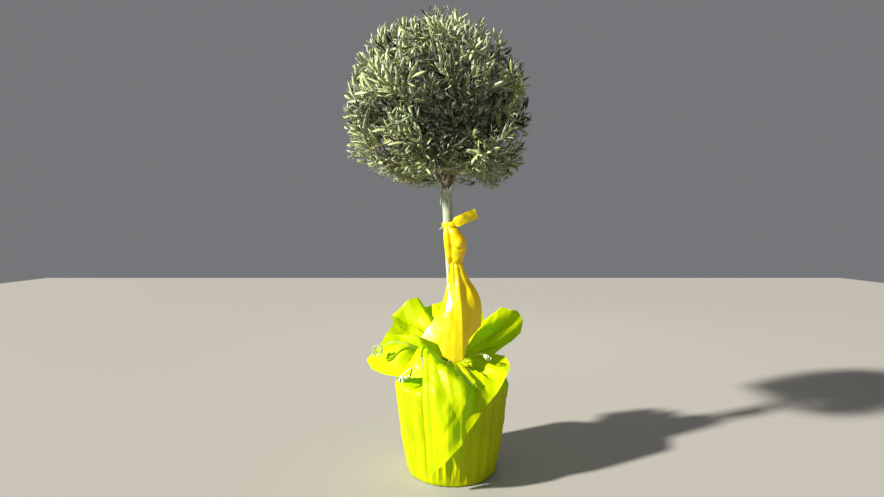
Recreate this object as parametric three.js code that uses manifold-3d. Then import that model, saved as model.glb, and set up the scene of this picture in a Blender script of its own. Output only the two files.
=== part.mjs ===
// A potted olive tree on a bare stem: a domed crown of narrow leaves over a slim trunk, in a nursery pot
// that is dressed as a gift. A lime film is gathered round the pot and tied above its rim, where it opens
// into a collar of lobes, and a yellow ribbon is tied to the stem. Millimetres, +Z up. The origin is on the
// flat underside, on the pot's axis, and -Y is the front.
import * as THREE from "three";
import { mergeVertices } from "three/addons/utils/BufferGeometryUtils.js";
import Module from "manifold-3d";

const wasm = await Module();
wasm.setup();
const { Manifold } = wasm;

// Driving dimensions
const GAP = 0.3;
const SEED = 3;

const POT_HEIGHT = 258;
const POT_BASE_RADIUS = 130;
const POT_TOP_RADIUS = 160;
const POT_WALL = 3;
const POT_LIP = 5;
const POT_LIP_HEIGHT = 12;
const POT_SIDES = 32;
const SOIL_BELOW_RIM = 20;

const FILM_FLOOR = 1.5;
const FILM_THICKNESS = 2;
const FILM_SLACK = 3.5;
const PLEATS = 20;
const PLEAT_DEPTH = 5;
const NECK_INNER_RADIUS = 27;
const NECK_OUTER_RADIUS = 43;
const NECK_BASE = 306;
const NECK_TOP = 328;

const TRUNK_TOP = 886;
const TRUNK_FOOT_RADIUS = 17;
const TRUNK_TOP_RADIUS = 12.5;
const ROOT_FLARE = 9;
const TRUNK_SIDES = 10;
const STEM_WRAP_BOTTOM = 345;
const STEM_WRAP_TOP = 843;
const STEM_WRAP_WALL = 1.6;

const CROWN_CENTRE = new THREE.Vector3(-40, 0, 1071);
const CROWN_RADIUS = 270;
const CROWN_ABOVE = 284;
const CROWN_BELOW = 240;
const CROWN_UNDERSIDE = 3;
const LEAF_LENGTH = 98;
const LEAF_WIDTH = 25;
const LEAF_THICKNESS = 2.4;
const TWIG_RADIUS = 1.9;

const KNOT_HEIGHT = 735;
const RIBBON_WIDTH = 36;
const RIBBON_THICKNESS = 2.5;

const POT_FLOOR = FILM_FLOOR + GAP;
const RIM = POT_FLOOR + POT_HEIGHT;
const SOIL_TOP = RIM - SOIL_BELOW_RIM;
const TRUNK_FOOT = SOIL_TOP + GAP;
const UP = new THREE.Vector3(0, 0, 1);
const GOLDEN_ANGLE = Math.PI * (3 - Math.sqrt(5));

const vector = (x, y, z) => new THREE.Vector3(x, y, z);
const radians = THREE.MathUtils.degToRad;
const mix = THREE.MathUtils.lerp;

// A repeatable stream of numbers from 0 to 1.
function randomFrom(seed) {
  let state = seed >>> 0;
  return () => {
    state = (state + 0x6d2b79f5) >>> 0;
    let bits = Math.imul(state ^ (state >>> 15), state | 1);
    bits ^= bits + Math.imul(bits ^ (bits >>> 7), bits | 61);
    return ((bits ^ (bits >>> 14)) >>> 0) / 4294967296;
  };
}

// Geometry to solid and back
function bare(geometry) {
  geometry.deleteAttribute("normal");
  geometry.deleteAttribute("uv");
  return mergeVertices(geometry, 1e-3);
}

function solid(geometry) {
  const merged = bare(geometry);
  const mesh = new wasm.Mesh({
    numProp: 3,
    vertProperties: merged.getAttribute("position").array,
    triVerts: new Uint32Array(merged.index.array),
  });
  return new Manifold(mesh);
}

// The largest closed body of a joined solid: scraps are dropped, sealed hollows are filled, and the slivers
// that joining leaves are merged away.
const SLIVER = 0.02;
function mainBody(whole) {
  const bodies = whole.decompose();
  const main = bodies.reduce((best, body) => (body.volume() > best.volume() ? body : best));
  return main.simplify(SLIVER);
}

function geometryOf(body) {
  const { vertProperties, triVerts, numProp, numVert } = body.getMesh();
  const places = new Float32Array(numVert * 3);
  for (let i = 0; i < numVert; i++) {
    places.set(vertProperties.subarray(i * numProp, i * numProp + 3), i * 3);
  }
  const geometry = new THREE.BufferGeometry();
  geometry.setAttribute("position", new THREE.BufferAttribute(places, 3));
  geometry.setIndex(new THREE.BufferAttribute(new Uint32Array(triVerts), 1));
  return geometry;
}

// A round bar of changing radius along a curve, with flat ends.
function limb(curve, radiusAt, sides, steps) {
  const geometry = new THREE.CylinderGeometry(1, 1, 1, sides, steps);
  const frames = curve.computeFrenetFrames(steps, false);
  const spine = curve.getSpacedPoints(steps);
  const position = geometry.getAttribute("position");
  for (let i = 0; i < position.count; i++) {
    const ring = Math.round((position.getY(i) + 0.5) * steps);
    const radius = radiusAt(ring / steps);
    const place = spine[ring]
      .clone()
      .addScaledVector(frames.normals[ring], position.getX(i) * radius)
      .addScaledVector(frames.binormals[ring], -position.getZ(i) * radius);
    position.setXYZ(i, place.x, place.y, place.z);
  }
  return geometry;
}

// A thin closed sheet over a surface that placeAt(u, v) gives for u and v from 0 to 1.
function sheet(placeAt, thickness, columns, rows) {
  const geometry = new THREE.BoxGeometry(1, 1, 1, columns, rows, 1);
  const position = geometry.getAttribute("position");
  const step = 1e-3;
  for (let i = 0; i < position.count; i++) {
    const u = position.getX(i) + 0.5;
    const v = position.getY(i) + 0.5;
    const across = placeAt(u + step, v).sub(placeAt(u - step, v));
    const along = placeAt(u, v + step).sub(placeAt(u, v - step));
    const normal = across.cross(along).normalize();
    const place = placeAt(u, v).addScaledVector(normal, position.getZ(i) * thickness);
    position.setXYZ(i, place.x, place.y, place.z);
  }
  // The far face is split along the same diagonals as the near one, so that the sheet keeps its thickness.
  const index = geometry.getIndex();
  const far = geometry.groups[5];
  for (let i = far.start; i < far.start + far.count; i += 6) {
    const [a, b, d, , c] = index.array.slice(i, i + 6);
    index.array.set([a, b, c, a, c, d], i);
  }
  return geometry;
}

// A solid of revolution about +Z from [radius, height] pairs.
function turned(profile, sides) {
  const points = profile.map(([radius, height]) => new THREE.Vector2(radius, height));
  return new THREE.LatheGeometry(points, sides).rotateX(Math.PI / 2);
}

// Materials
const paint = (colour, roughness) =>
  new THREE.MeshStandardMaterial({ color: colour, roughness, metalness: 0 });
const BARK = paint(0x7d7461, 0.85);
const LEAVES = paint(0x8d9a72, 0.55);
const POT = paint(0x2a2d2b, 0.6);
const SOIL = paint(0x3b2c20, 0.95);
const FILM = paint(0xb4e61e, 0.3);
const RIBBON = paint(0xf6e414, 0.35);
const TIE = paint(0xcdf0a4, 0.4);
const STEM_FILM = paint(0xb9c2ac, 0.45);

const part = new THREE.Group();
function add(name, body, material) {
  const mesh = new THREE.Mesh(geometryOf(body), material);
  mesh.name = name;
  part.add(mesh);
}

// Pot and soil
const potRadius = (height) =>
  mix(POT_BASE_RADIUS, POT_TOP_RADIUS, (height - POT_FLOOR) / POT_HEIGHT);

function potSolid() {
  const lipBase = RIM - POT_LIP_HEIGHT;
  const inside = POT_FLOOR + POT_WALL;
  return solid(
    turned(
      [
        [0, POT_FLOOR],
        [potRadius(POT_FLOOR), POT_FLOOR],
        [potRadius(lipBase), lipBase],
        [POT_TOP_RADIUS + POT_LIP, lipBase],
        [POT_TOP_RADIUS + POT_LIP, RIM],
        [potRadius(RIM) - POT_WALL, RIM],
        [potRadius(inside) - POT_WALL, inside],
        [0, inside],
      ],
      POT_SIDES,
    ),
  );
}

function soilSolid() {
  const foot = POT_FLOOR + POT_WALL + GAP;
  const inset = POT_WALL + 2 * GAP;
  return solid(
    turned(
      [
        [0, foot],
        [potRadius(foot) - inset, foot],
        [potRadius(SOIL_TOP - 6) - inset, SOIL_TOP - 6],
        [60, SOIL_TOP],
        [0, SOIL_TOP],
      ],
      POT_SIDES,
    ),
  );
}

// Trunk, with a slow bend to the left, a root flare and a swollen head that the boughs leave
const TRUNK_START = TRUNK_FOOT - 6;
const trunkCurve = new THREE.CatmullRomCurve3([
  vector(4, 0, TRUNK_START),
  vector(5, 2, 400),
  vector(2, 3, 550),
  vector(-9, 1, 700),
  vector(-14, 0, 800),
  vector(-15, 0, TRUNK_TOP),
]);

const alongTrunk = (height) => (height - TRUNK_START) / (TRUNK_TOP - TRUNK_START);

function trunkRadius(along) {
  const rise = along * (TRUNK_TOP - TRUNK_START);
  const taper = mix(TRUNK_FOOT_RADIUS, TRUNK_TOP_RADIUS, along);
  const flare = ROOT_FLARE * Math.exp(-rise / 16);
  const head = 3.5 * Math.exp(-(((along - 0.955) / 0.035) ** 2));
  return taper + flare + head;
}

const TRUNK_STEPS = 24;
function trunkSolid(grow) {
  const radiusAt = (along) => trunkRadius(along) + grow;
  const bar = solid(limb(trunkCurve, radiusAt, TRUNK_SIDES, TRUNK_STEPS));
  return bar.trimByPlane([0, 0, 1], TRUNK_FOOT - grow);
}

// The sleeve of pale film round the stem
function stemWrapSolid() {
  const steps = 8;
  const from = alongTrunk(STEM_WRAP_BOTTOM);
  const to = alongTrunk(STEM_WRAP_TOP);
  const points = [];
  for (let i = 0; i <= steps; i++) points.push(trunkCurve.getPointAt(mix(from, to, i / steps)));
  const curve = new THREE.CatmullRomCurve3(points);
  const tube = (grow) =>
    solid(limb(curve, (t) => trunkRadius(mix(from, to, t)) + grow, TRUNK_SIDES, steps));
  return tube(STEM_WRAP_WALL + GAP).subtract(trunkSolid(2 * GAP));
}

// Crown layout: each mass of foliage has a seed point, and keeps to the space that is nearer to its own
// seed than to any other.
const TIERS = [
  { name: "low", count: 6, turn: 20, radius: 168, height: 930 },
  { name: "middle", count: 6, turn: 50, radius: 182, height: 1074 },
  { name: "high", count: 4, turn: 15, radius: 132, height: 1208 },
  { name: "top", count: 1, turn: 0, radius: 0, height: 1262 },
];
const places = TIERS.flatMap((tier) =>
  Array.from({ length: tier.count }, (_, index) => {
    const turn = radians(tier.turn + (360 * index) / tier.count);
    return {
      tier: tier.name,
      name: tier.count > 1 ? `${tier.name}_${index + 1}` : tier.name,
      index,
      turn,
      seed: vector(
        CROWN_CENTRE.x + tier.radius * Math.cos(turn),
        CROWN_CENTRE.y + tier.radius * Math.sin(turn),
        tier.height,
      ),
    };
  }),
);

// How far out in the crown a place is: 1 on its outline.
function reachOf(place) {
  const rise = place.z - CROWN_CENTRE.z;
  const flat = Math.hypot(place.x - CROWN_CENTRE.x, place.y - CROWN_CENTRE.y) / CROWN_RADIUS;
  if (rise > 0) return Math.hypot(flat, rise / CROWN_ABOVE);
  return (flat ** CROWN_UNDERSIDE + (-rise / CROWN_BELOW) ** CROWN_UNDERSIDE) ** (1 / CROWN_UNDERSIDE);
}

const inCell = (mass, place, margin) =>
  places.every((other) => {
    if (other === mass) return true;
    const towards = other.seed.clone().sub(mass.seed);
    const half = towards.length() / 2 - margin;
    return place.clone().sub(mass.seed).dot(towards.normalize()) < half;
  });

// Boughs: a leader and the middle ones leave the trunk's head, the low ones leave the middle ones, and the
// high ones leave the leader. Each ends where its mass of foliage begins.
const head = trunkCurve.getPointAt(0.97);
const TIP_SHARE = { low: 0.5, middle: 0.52, high: 0.42, top: 0.62 };
const ROOT_RADIUS = { low: 4.6, middle: 7, high: 4.4, top: 8 };
const TIP_RADIUS = 3;

function boughCurve(mass, parents) {
  const tip = head.clone().lerp(mass.seed, TIP_SHARE[mass.tier]);
  let root = trunkCurve.getPointAt(0.955 - 0.007 * (mass.index % 3));
  if (mass.tier === "top") root = trunkCurve.getPointAt(1).addScaledVector(UP, GAP);
  if (mass.tier === "high") root = parents.top.getPointAt(0.3 + 0.16 * (mass.index % 3));
  if (mass.tier === "low") root = parents[`middle_${mass.index + 1}`].getPointAt(0.3);
  if (mass.tier === "low") tip.z += 6;
  const span = tip.clone().sub(root);
  const lift = { low: -0.12, middle: 0.02, high: -0.05, top: 0 }[mass.tier];
  const control = root.clone().addScaledVector(span, 0.5);
  control.addScaledVector(UP, lift * span.length());
  if (mass.tier === "top") control.x += 6;
  return new THREE.QuadraticBezierCurve3(root, control, tip);
}

const boughs = {};
for (const tier of ["top", "middle", "high", "low"]) {
  for (const mass of places.filter((place) => place.tier === tier)) {
    boughs[mass.name] = boughCurve(mass, boughs);
  }
}

function boughSolid(mass, grow) {
  const radiusAt = (along) => mix(ROOT_RADIUS[mass.tier], TIP_RADIUS, along ** 0.8) + grow;
  return solid(limb(boughs[mass.name], radiusAt, 6, 4));
}

const trunkClear = trunkSolid(GAP);
const parentName = {
  low: (mass) => `middle_${mass.index + 1}`,
  high: () => "top",
};
const byName = Object.fromEntries(places.map((mass) => [mass.name, mass]));

function fittedBough(mass) {
  let body = boughSolid(mass, 0);
  if (mass.tier !== "top") body = body.subtract(trunkClear);
  if (mass.tier in parentName) {
    body = body.subtract(boughSolid(byName[parentName[mass.tier](mass)], GAP));
  }
  return mainBody(body);
}

// Foliage
const limbsClear = Manifold.union([
  trunkClear,
  ...places.map((mass) => boughSolid(mass, GAP)),
]);

function leafSolid(root, along, side, length) {
  const geometry = new THREE.OctahedronGeometry(1, 0);
  const position = geometry.getAttribute("position");
  for (let i = 0; i < position.count; i++) {
    position.setXYZ(
      i,
      (position.getX(i) * LEAF_WIDTH) / 2,
      (position.getY(i) * LEAF_THICKNESS) / 2,
      (position.getZ(i) + 1) * (length / 2) - 0.4,
    );
  }
  const face = along.clone().cross(side).normalize();
  const across = face.clone().cross(along).normalize();
  const basis = new THREE.Matrix4().makeBasis(across, face, along).setPosition(root);
  return geometry.applyMatrix4(basis);
}

function corners(geometry) {
  const position = geometry.getAttribute("position");
  return Array.from({ length: position.count }, (_, i) =>
    new THREE.Vector3().fromBufferAttribute(position, i),
  );
}

const meets = (one, other) => one.intersect(other).volume() > 0.001;

// A stem that grows on from the bough, with twigs round it by the golden angle and leaves in crossed pairs
// on every twig. What would leave the mass's space or touch a limb is left out.
const TWIGS = 7;
const PAIRS = 3;
const TWIG_LIFT = { low: -0.28, middle: 0.12, high: 0.3, top: 0.3 };

function foliageSolid(mass) {
  const random = randomFrom(SEED + 101 * places.indexOf(mass));
  const leafRandom = randomFrom(SEED + 101 * places.indexOf(mass) + 50);
  const bough = boughs[mass.name];
  const tip = bough.getPoint(1);
  const out = bough.getTangent(1);
  const towards = mass.seed.clone().sub(head).normalize();
  const end = mass.seed.clone();
  while (reachOf(end) < 0.84) end.addScaledVector(towards, 4);
  const start = tip.clone().addScaledVector(out, GAP);
  const length = end.distanceTo(start);
  const control = start.clone().addScaledVector(out, length * 0.4);
  const stem = new THREE.QuadraticBezierCurve3(start, control, end);
  const stemRadius = (along) => mix(TIP_RADIUS, TWIG_RADIUS, along);
  const pieces = [solid(limb(stem, stemRadius, 4, 3))];
  const leaves = [];

  const fits = (geometry) =>
    corners(geometry).every((place) => inCell(mass, place, GAP) && reachOf(place) < 1);

  function addLeaf(root, along, side) {
    const size = LEAF_LENGTH * mix(0.85, 1.1, leafRandom());
    for (const share of [1, 0.7]) {
      const geometry = leafSolid(root, along, side, size * share);
      if (!fits(geometry)) continue;
      const leaf = solid(geometry);
      if (meets(leaf, limbsClear)) continue;
      if (leaves.some((other) => leaf.intersect(other).volume() > 2)) continue;
      leaves.push(leaf);
      return;
    }
  }

  function dress(curve, direction, pairs) {
    const side = direction.clone().cross(UP).normalize();
    const over = side.clone().cross(direction).normalize();
    for (let pair = 0; pair < pairs; pair++) {
      const root = curve.getPointAt(mix(0.35, 0.96, pair / (pairs - 1)));
      const turn = pair * (Math.PI / 2) + leafRandom();
      const way = side.clone().multiplyScalar(Math.cos(turn)).addScaledVector(over, Math.sin(turn));
      for (const sign of [1, -1]) {
        const along = direction.clone().multiplyScalar(0.75).addScaledVector(way, 0.66 * sign);
        along.z += 0.1;
        addLeaf(root, along.normalize(), direction.clone().cross(along).normalize());
      }
    }
    addLeaf(curve.getPointAt(0.98), direction, side);
  }

  const stemTip = stem.getTangent(1);
  for (let i = 0; i < TWIGS; i++) {
    const at = mix(0.12, 0.9, i / (TWIGS - 1));
    const root = stem.getPointAt(at);
    const along = stem.getTangentAt(at);
    const side = along.clone().cross(UP).normalize();
    const over = side.clone().cross(along).normalize();
    const turn = i * GOLDEN_ANGLE + random() * 0.5;
    const away = side.multiplyScalar(Math.cos(turn)).addScaledVector(over, Math.sin(turn));
    const direction = along.clone().multiplyScalar(0.62).addScaledVector(away, 0.78);
    direction.z += TWIG_LIFT[mass.tier];
    direction.normalize();
    const reach = mix(92, 66, i / (TWIGS - 1)) * mix(0.85, 1.15, random());
    const twigEnd = root.clone().addScaledVector(direction, reach);
    const bend = root.clone().addScaledVector(direction, reach / 2);
    bend.z -= 4;
    const curve = new THREE.QuadraticBezierCurve3(root, bend, twigEnd);
    const geometry = limb(curve, (t) => mix(TWIG_RADIUS, 1.3, t), 3, 2);
    if (!fits(geometry)) continue;
    const twig = solid(geometry);
    if (meets(twig, limbsClear)) continue;
    pieces.push(twig);
    dress(curve, curve.getTangent(1), PAIRS);
  }
  dress(stem, stemTip, 2);
  return mainBody(Manifold.union([...pieces, ...leaves]));
}

// The film round the pot: pleated up the side, drawn in over the rim to a neck
function filmSkirtSolid() {
  const innerFoot = POT_BASE_RADIUS + FILM_SLACK;
  const innerRim = POT_TOP_RADIUS + POT_LIP + 2;
  const rim = RIM + 2;
  const wall = 4;
  const profile = [
    [0, 0],
    [innerFoot + wall, 0],
    [mix(innerFoot, innerRim, 0.5) + wall, rim / 2],
    [innerRim + wall, rim - 4],
    [innerRim - 2, rim + 8],
    [innerRim - 40, rim + 15],
    [NECK_OUTER_RADIUS + 30, NECK_BASE - 4],
    [NECK_OUTER_RADIUS, NECK_BASE],
    [NECK_OUTER_RADIUS, NECK_TOP],
    [NECK_INNER_RADIUS, NECK_TOP],
    [NECK_INNER_RADIUS, NECK_BASE - 6],
    [innerRim - 45, rim + 8],
    [innerRim - 6, rim + 3],
    [innerRim, rim - 3],
    [innerFoot, FILM_FLOOR],
    [0, FILM_FLOOR],
  ];
  const geometry = turned(profile, PLEATS * 2);
  const position = geometry.getAttribute("position");
  const outer = 8;
  for (let i = 0; i < position.count; i++) {
    const row = i % profile.length;
    if (row < 1 || row > outer - 2) continue;
    const column = Math.floor(i / profile.length) % (PLEATS * 2);
    const depth = row === 1 ? PLEAT_DEPTH / 2 : PLEAT_DEPTH;
    const radius = Math.hypot(position.getX(i), position.getY(i));
    const scale = (radius + (column % 2 ? depth : 0)) / radius;
    position.setXY(i, position.getX(i) * scale, position.getY(i) * scale);
  }
  return solid(geometry);
}

function tieSolid() {
  const inner = NECK_OUTER_RADIUS + GAP + 0.2;
  const bottom = NECK_BASE + 5;
  const height = 11;
  return solid(
    turned(
      [
        [inner, bottom],
        [inner + 3, bottom],
        [inner + 3, bottom + height],
        [inner, bottom + height],
        [inner, bottom],
      ],
      24,
    ),
  );
}

// The collar: fold lines that run out from the neck over a crest. Each has its bearing from the front
// towards the right in degrees, its crest and its end as a radius and a height, and how many degrees the end
// has swept on round. The film is flat from fold to fold, and its two side edges meet at the front left.
const COLLAR_FOLDS = [
  { at: -60, crest: [100, 388], end: [197, 66], sweep: 39 },
  { at: -48, crest: [104, 384], end: [199, 60], sweep: 31 },
  { at: -37, crest: [108, 376], end: [198, 74], sweep: 23 },
  { at: -21, crest: [123, 354], end: [200, 98], sweep: 14 },
  { at: -8, crest: [142, 338], end: [201, 126], sweep: 8 },
  { at: 7, crest: [166, 311], end: [204, 152], sweep: 0 },
  { at: 16, crest: [156, 298], end: [196, 186], sweep: -2 },
  { at: 26, crest: [150, 312], end: [194, 224], sweep: -3 },
  { at: 36, crest: [146, 298], end: [193, 262], sweep: -3 },
  { at: 45, crest: [122, 318], end: [190, 290], sweep: 0 },
  { at: 53, crest: [118, 304], end: [194, 320], sweep: 0 },
  { at: 62, crest: [112, 338], end: [188, 326], sweep: 0 },
  { at: 72, crest: [104, 318], end: [176, 332], sweep: 0 },
  { at: 80, crest: [98, 346], end: [160, 348], sweep: 0 },
  { at: 86, crest: [72, 334], end: [128, 352], sweep: 0 },
  { at: 92, crest: [96, 362], end: [178, 382], sweep: 0 },
  { at: 98, crest: [116, 358], end: [216, 408], sweep: 0 },
  { at: 105, crest: [136, 404], end: [234, 440], sweep: 0 },
  { at: 112, crest: [124, 384], end: [229, 462], sweep: 0 },
  { at: 122, crest: [114, 420], end: [190, 474], sweep: 0 },
  { at: 134, crest: [84, 372], end: [150, 430], sweep: 0 },
  { at: 141, crest: [96, 414], end: [158, 474], sweep: 0 },
  { at: 150, crest: [86, 388], end: [150, 466], sweep: 0 },
  { at: 162, crest: [88, 426], end: [142, 492], sweep: 0 },
  { at: 176, crest: [72, 378], end: [117, 446], sweep: 0 },
  { at: 185, crest: [84, 430], end: [142, 503], sweep: 0 },
  { at: 193, crest: [86, 396], end: [154, 482], sweep: 0 },
  { at: 202, crest: [96, 428], end: [160, 478], sweep: 0 },
  { at: 210, crest: [94, 386], end: [168, 468], sweep: 0 },
  { at: 219, crest: [108, 430], end: [178, 496], sweep: 0 },
  { at: 228, crest: [108, 400], end: [194, 486], sweep: 0 },
  { at: 239, crest: [128, 414], end: [228, 440], sweep: 0 },
  { at: 250, crest: [108, 366], end: [200, 416], sweep: 0 },
  { at: 258, crest: [120, 398], end: [208, 396], sweep: 0 },
  { at: 265, crest: [112, 362], end: [214, 376], sweep: 0 },
  { at: 272, crest: [148, 376], end: [258, 326], sweep: 0 },
  { at: 279, crest: [156, 350], end: [242, 310], sweep: 2 },
  { at: 286, crest: [140, 372], end: [210, 303], sweep: 6 },
  { at: 291, crest: [118, 344], end: [180, 302], sweep: 12 },
  { at: 295, crest: [110, 376], end: [162, 302], sweep: 18 },
  { at: 300, crest: [100, 388], end: [154, 311], sweep: 28 },
];
const LOBES = [
  { name: "film_flap_front", from: -60, to: 36 },
  { name: "film_lobe_right", from: 36, to: 86 },
  { name: "film_lobe_back_right", from: 86, to: 134 },
  { name: "film_lobe_back", from: 134, to: 202 },
  { name: "film_lobe_back_left", from: 202, to: 250 },
  { name: "film_lobe_left", from: 250, to: 286 },
  { name: "film_lobe_front_left", from: 286, to: 300 },
];
const COLLAR_ROOT = NECK_TOP + GAP + FILM_THICKNESS / 2;
const CREST_SHARE = 0.36;
const PASS_SHARE = 0.62;
// A fold that ends below the rim passes it at this radius, this far above it, with most of its sweep done.
const PASS_RADIUS = 183;
const PASS_ABOVE = 14;
const PASS_SWEPT = 0.85;
const HANG_EASE = 35;
const CORNER_CUT = 0.16;
const LOBE_ROWS = [0, 0.16, 0.3, 0.38, 0.52, 0.64, 0.82, 1];

function around(radius, bearing, height) {
  const angle = radians(bearing);
  return vector(radius * Math.sin(angle), -radius * Math.cos(angle), height);
}

// A line of straight stretches whose corners are cut off twice. Each stop has its place along the fold.
function cornersCut(stops) {
  let line = stops;
  for (let round = 0; round < 2; round++) {
    const cut = [];
    for (let i = 1; i < line.length; i++) {
      for (const share of [CORNER_CUT, 1 - CORNER_CUT]) {
        const along = mix(line[i - 1].along, line[i].along, share);
        cut.push({ along, place: line[i - 1].place.clone().lerp(line[i].place, share) });
      }
    }
    line = [line[0], ...cut.slice(1, -1), line.at(-1)];
  }
  return line;
}

function foldLine(fold) {
  const [radius, height] = fold.end;
  const [crestRadius, crestHeight] = fold.crest;
  const hangs = THREE.MathUtils.smoothstep(RIM + HANG_EASE - height, 0, HANG_EASE);
  const onward = (PASS_SHARE - CREST_SHARE) / (1 - CREST_SHARE);
  const over = around(
    mix(mix(crestRadius, radius, onward), PASS_RADIUS, hangs),
    fold.at + fold.sweep * mix(onward, PASS_SWEPT, hangs),
    mix(mix(crestHeight, height, onward), RIM + PASS_ABOVE, hangs),
  );
  return cornersCut([
    { along: 0, place: around(NECK_OUTER_RADIUS, fold.at, COLLAR_ROOT) },
    { along: CREST_SHARE, place: around(crestRadius, fold.at, crestHeight) },
    { along: PASS_SHARE, place: over },
    { along: 1, place: around(radius, fold.at + fold.sweep, height) },
  ]);
}
const FOLD_LINES = COLLAR_FOLDS.map(foldLine);

function onFold(line, along) {
  const next = Math.max(1, line.findIndex((stop) => stop.along >= along));
  const [before, after] = [line[next - 1], line[next]];
  const share = (along - before.along) / (after.along - before.along);
  return before.place.clone().lerp(after.place, share);
}

function collarPlace(bearing, along) {
  const next = Math.max(1, COLLAR_FOLDS.findIndex((fold) => fold.at >= bearing));
  const [before, after] = [COLLAR_FOLDS[next - 1], COLLAR_FOLDS[next]];
  const share = (bearing - before.at) / (after.at - before.at);
  const held = THREE.MathUtils.clamp(along, 0, 1);
  return onFold(FOLD_LINES[next - 1], held).lerp(onFold(FOLD_LINES[next], held), share);
}

// Reads a list between its entries, for a share from 0 to 1 of the way through it.
function readAlong(list, share) {
  const at = THREE.MathUtils.clamp(share, 0, 1) * (list.length - 1);
  const low = Math.min(Math.floor(at), list.length - 2);
  return mix(list[low], list[low + 1], at - low);
}

function lobeSolid(lobe) {
  const seam = 1.2;
  const within = COLLAR_FOLDS.map((fold) => fold.at).filter((at) => at > lobe.from && at < lobe.to);
  const stops = [lobe.from + seam, ...within, lobe.to - seam];
  const placeAt = (u, v) => collarPlace(readAlong(stops, u), readAlong(LOBE_ROWS, v));
  return solid(sheet(placeAt, FILM_THICKNESS, stops.length - 1, LOBE_ROWS.length - 1));
}

// The ribbon: a knot round the stem, a short end, a loop and a long wide end that drapes to the collar
const knotCentre = trunkCurve.getPointAt(alongTrunk(KNOT_HEIGHT));
const stemRadiusAtKnot = trunkRadius(alongTrunk(KNOT_HEIGHT)) + STEM_WRAP_WALL + GAP;

const KNOT_BORE = stemRadiusAtKnot + 3 * GAP;
const KNOT_BUMP = { radius: 14, flat: 11, right: 8 };
const knotFront = knotCentre.clone().add(vector(KNOT_BUMP.right, -KNOT_BORE - KNOT_BUMP.radius + 2, 0));

function knotSolid(grow) {
  const half = 9 + grow;
  const band = turned(
    [
      [KNOT_BORE, -half],
      [KNOT_BORE + 3 + grow, -half],
      [KNOT_BORE + 4 + grow, 0],
      [KNOT_BORE + 3 + grow, half],
      [KNOT_BORE, half],
      [KNOT_BORE, -half],
    ],
    20,
  );
  const bump = new THREE.SphereGeometry(KNOT_BUMP.radius + grow, 10, 6).rotateX(Math.PI / 2);
  bump.scale(1, 1, (KNOT_BUMP.flat + grow) / (KNOT_BUMP.radius + grow));
  bump.translate(KNOT_BUMP.right, knotFront.y - knotCentre.y, 0);
  const hole = turned([[0, -30], [KNOT_BORE, -30], [KNOT_BORE, 30], [0, 30]], 20);
  const body = solid(band).add(solid(bump)).subtract(solid(hole));
  return body.translate(knotCentre.x, knotCentre.y, knotCentre.z);
}

// A ribbon that comes out of the knot starts inside it and is cut back to a seat on it.
const knotClear = knotSolid(GAP);
const seated = (body) => mainBody(body.subtract(knotClear));

function ribbonEndSolid() {
  const from = knotFront.clone().add(vector(4, 0, KNOT_BUMP.flat - 4));
  const to = vector(knotCentre.x + 88, from.y - 10, KNOT_HEIGHT + 48);
  const placeAt = (u, v) => {
    const width = RIBBON_WIDTH * mix(0.3, 1, Math.min(1, v * 2.6));
    const place = from.clone().lerp(to, v);
    place.z += u * width * 0.85 + 6 * Math.sin(Math.PI * v);
    place.x -= (u - 0.5) * width * 0.4 * v;
    place.y += 5 * Math.cos(Math.PI * (u - 0.5)) - 5;
    return place;
  };
  return seated(solid(sheet(placeAt, RIBBON_THICKNESS, 3, 5)));
}

function ribbonLoopSolid() {
  const height = 108;
  const half = 14;
  const wall = 3;
  const right = 12;
  const belly = (drop) => Math.sin(Math.PI * Math.min(drop * 1.15, 1)) ** 0.6 + 0.25 * drop;
  const halfWidth = (drop) => 7 + 25 * belly(drop);
  const teardrop = (inset) =>
    Array.from({ length: 16 }, (_, i) => {
      const turn = (2 * Math.PI * i) / 16;
      const drop = (1 - Math.cos(turn)) / 2;
      const wide = Math.sin(turn) * Math.sqrt(drop) * (half - inset);
      return new THREE.Vector2(wide, -inset - drop * (height - 2 * inset));
    });
  const bar = (inset, spare) => {
    const outline = new THREE.Shape(teardrop(inset));
    const geometry = new THREE.ExtrudeGeometry(outline, { depth: 2, bevelEnabled: false });
    geometry.translate(0, 0, -1);
    const position = geometry.getAttribute("position");
    for (let i = 0; i < position.count; i++) {
      const reach = halfWidth(-position.getY(i) / height) + spare;
      position.setZ(i, position.getZ(i) * reach);
    }
    return solid(geometry);
  };
  const loop = bar(0, 0).subtract(bar(wall, 4));
  const top = [knotFront.x + right, knotFront.y - 6, KNOT_HEIGHT - KNOT_BUMP.flat + 4];
  return seated(loop.rotate([90, 0, 0]).rotate([0, 0, 82]).translate(top));
}

// Folds of the long end from its left edge to its right: a place half way down and one at the hem.
// Above, they start at the knot and pass behind the loop, side by side, to a waist under it.
const DRAPE_FOLDS = [
  [[-33, -32, 492], [-89, -34, 402]],
  [[-20, -52, 484], [-42, -64, 390]],
  [[-4, -63, 482], [-26, -76, 362]],
  [[10, -68, 480], [6, -82, 350]],
  [[27, -70, 480], [30, -80, 354]],
  [[44, -56, 492], [46, -64, 402]],
  [[66, -48, 508], [67, -48, 422]],
  [[82, -30, 520], [86, -34, 436]],
];
const DRAPE_START = { z: KNOT_HEIGHT - 5, left: -13, right: 5, front: 2 };
const DRAPE_WAIST = { z: 598, left: -11, right: 34, front: 4, bulge: 3 };
const DRAPE_ROWS = 9;

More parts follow.
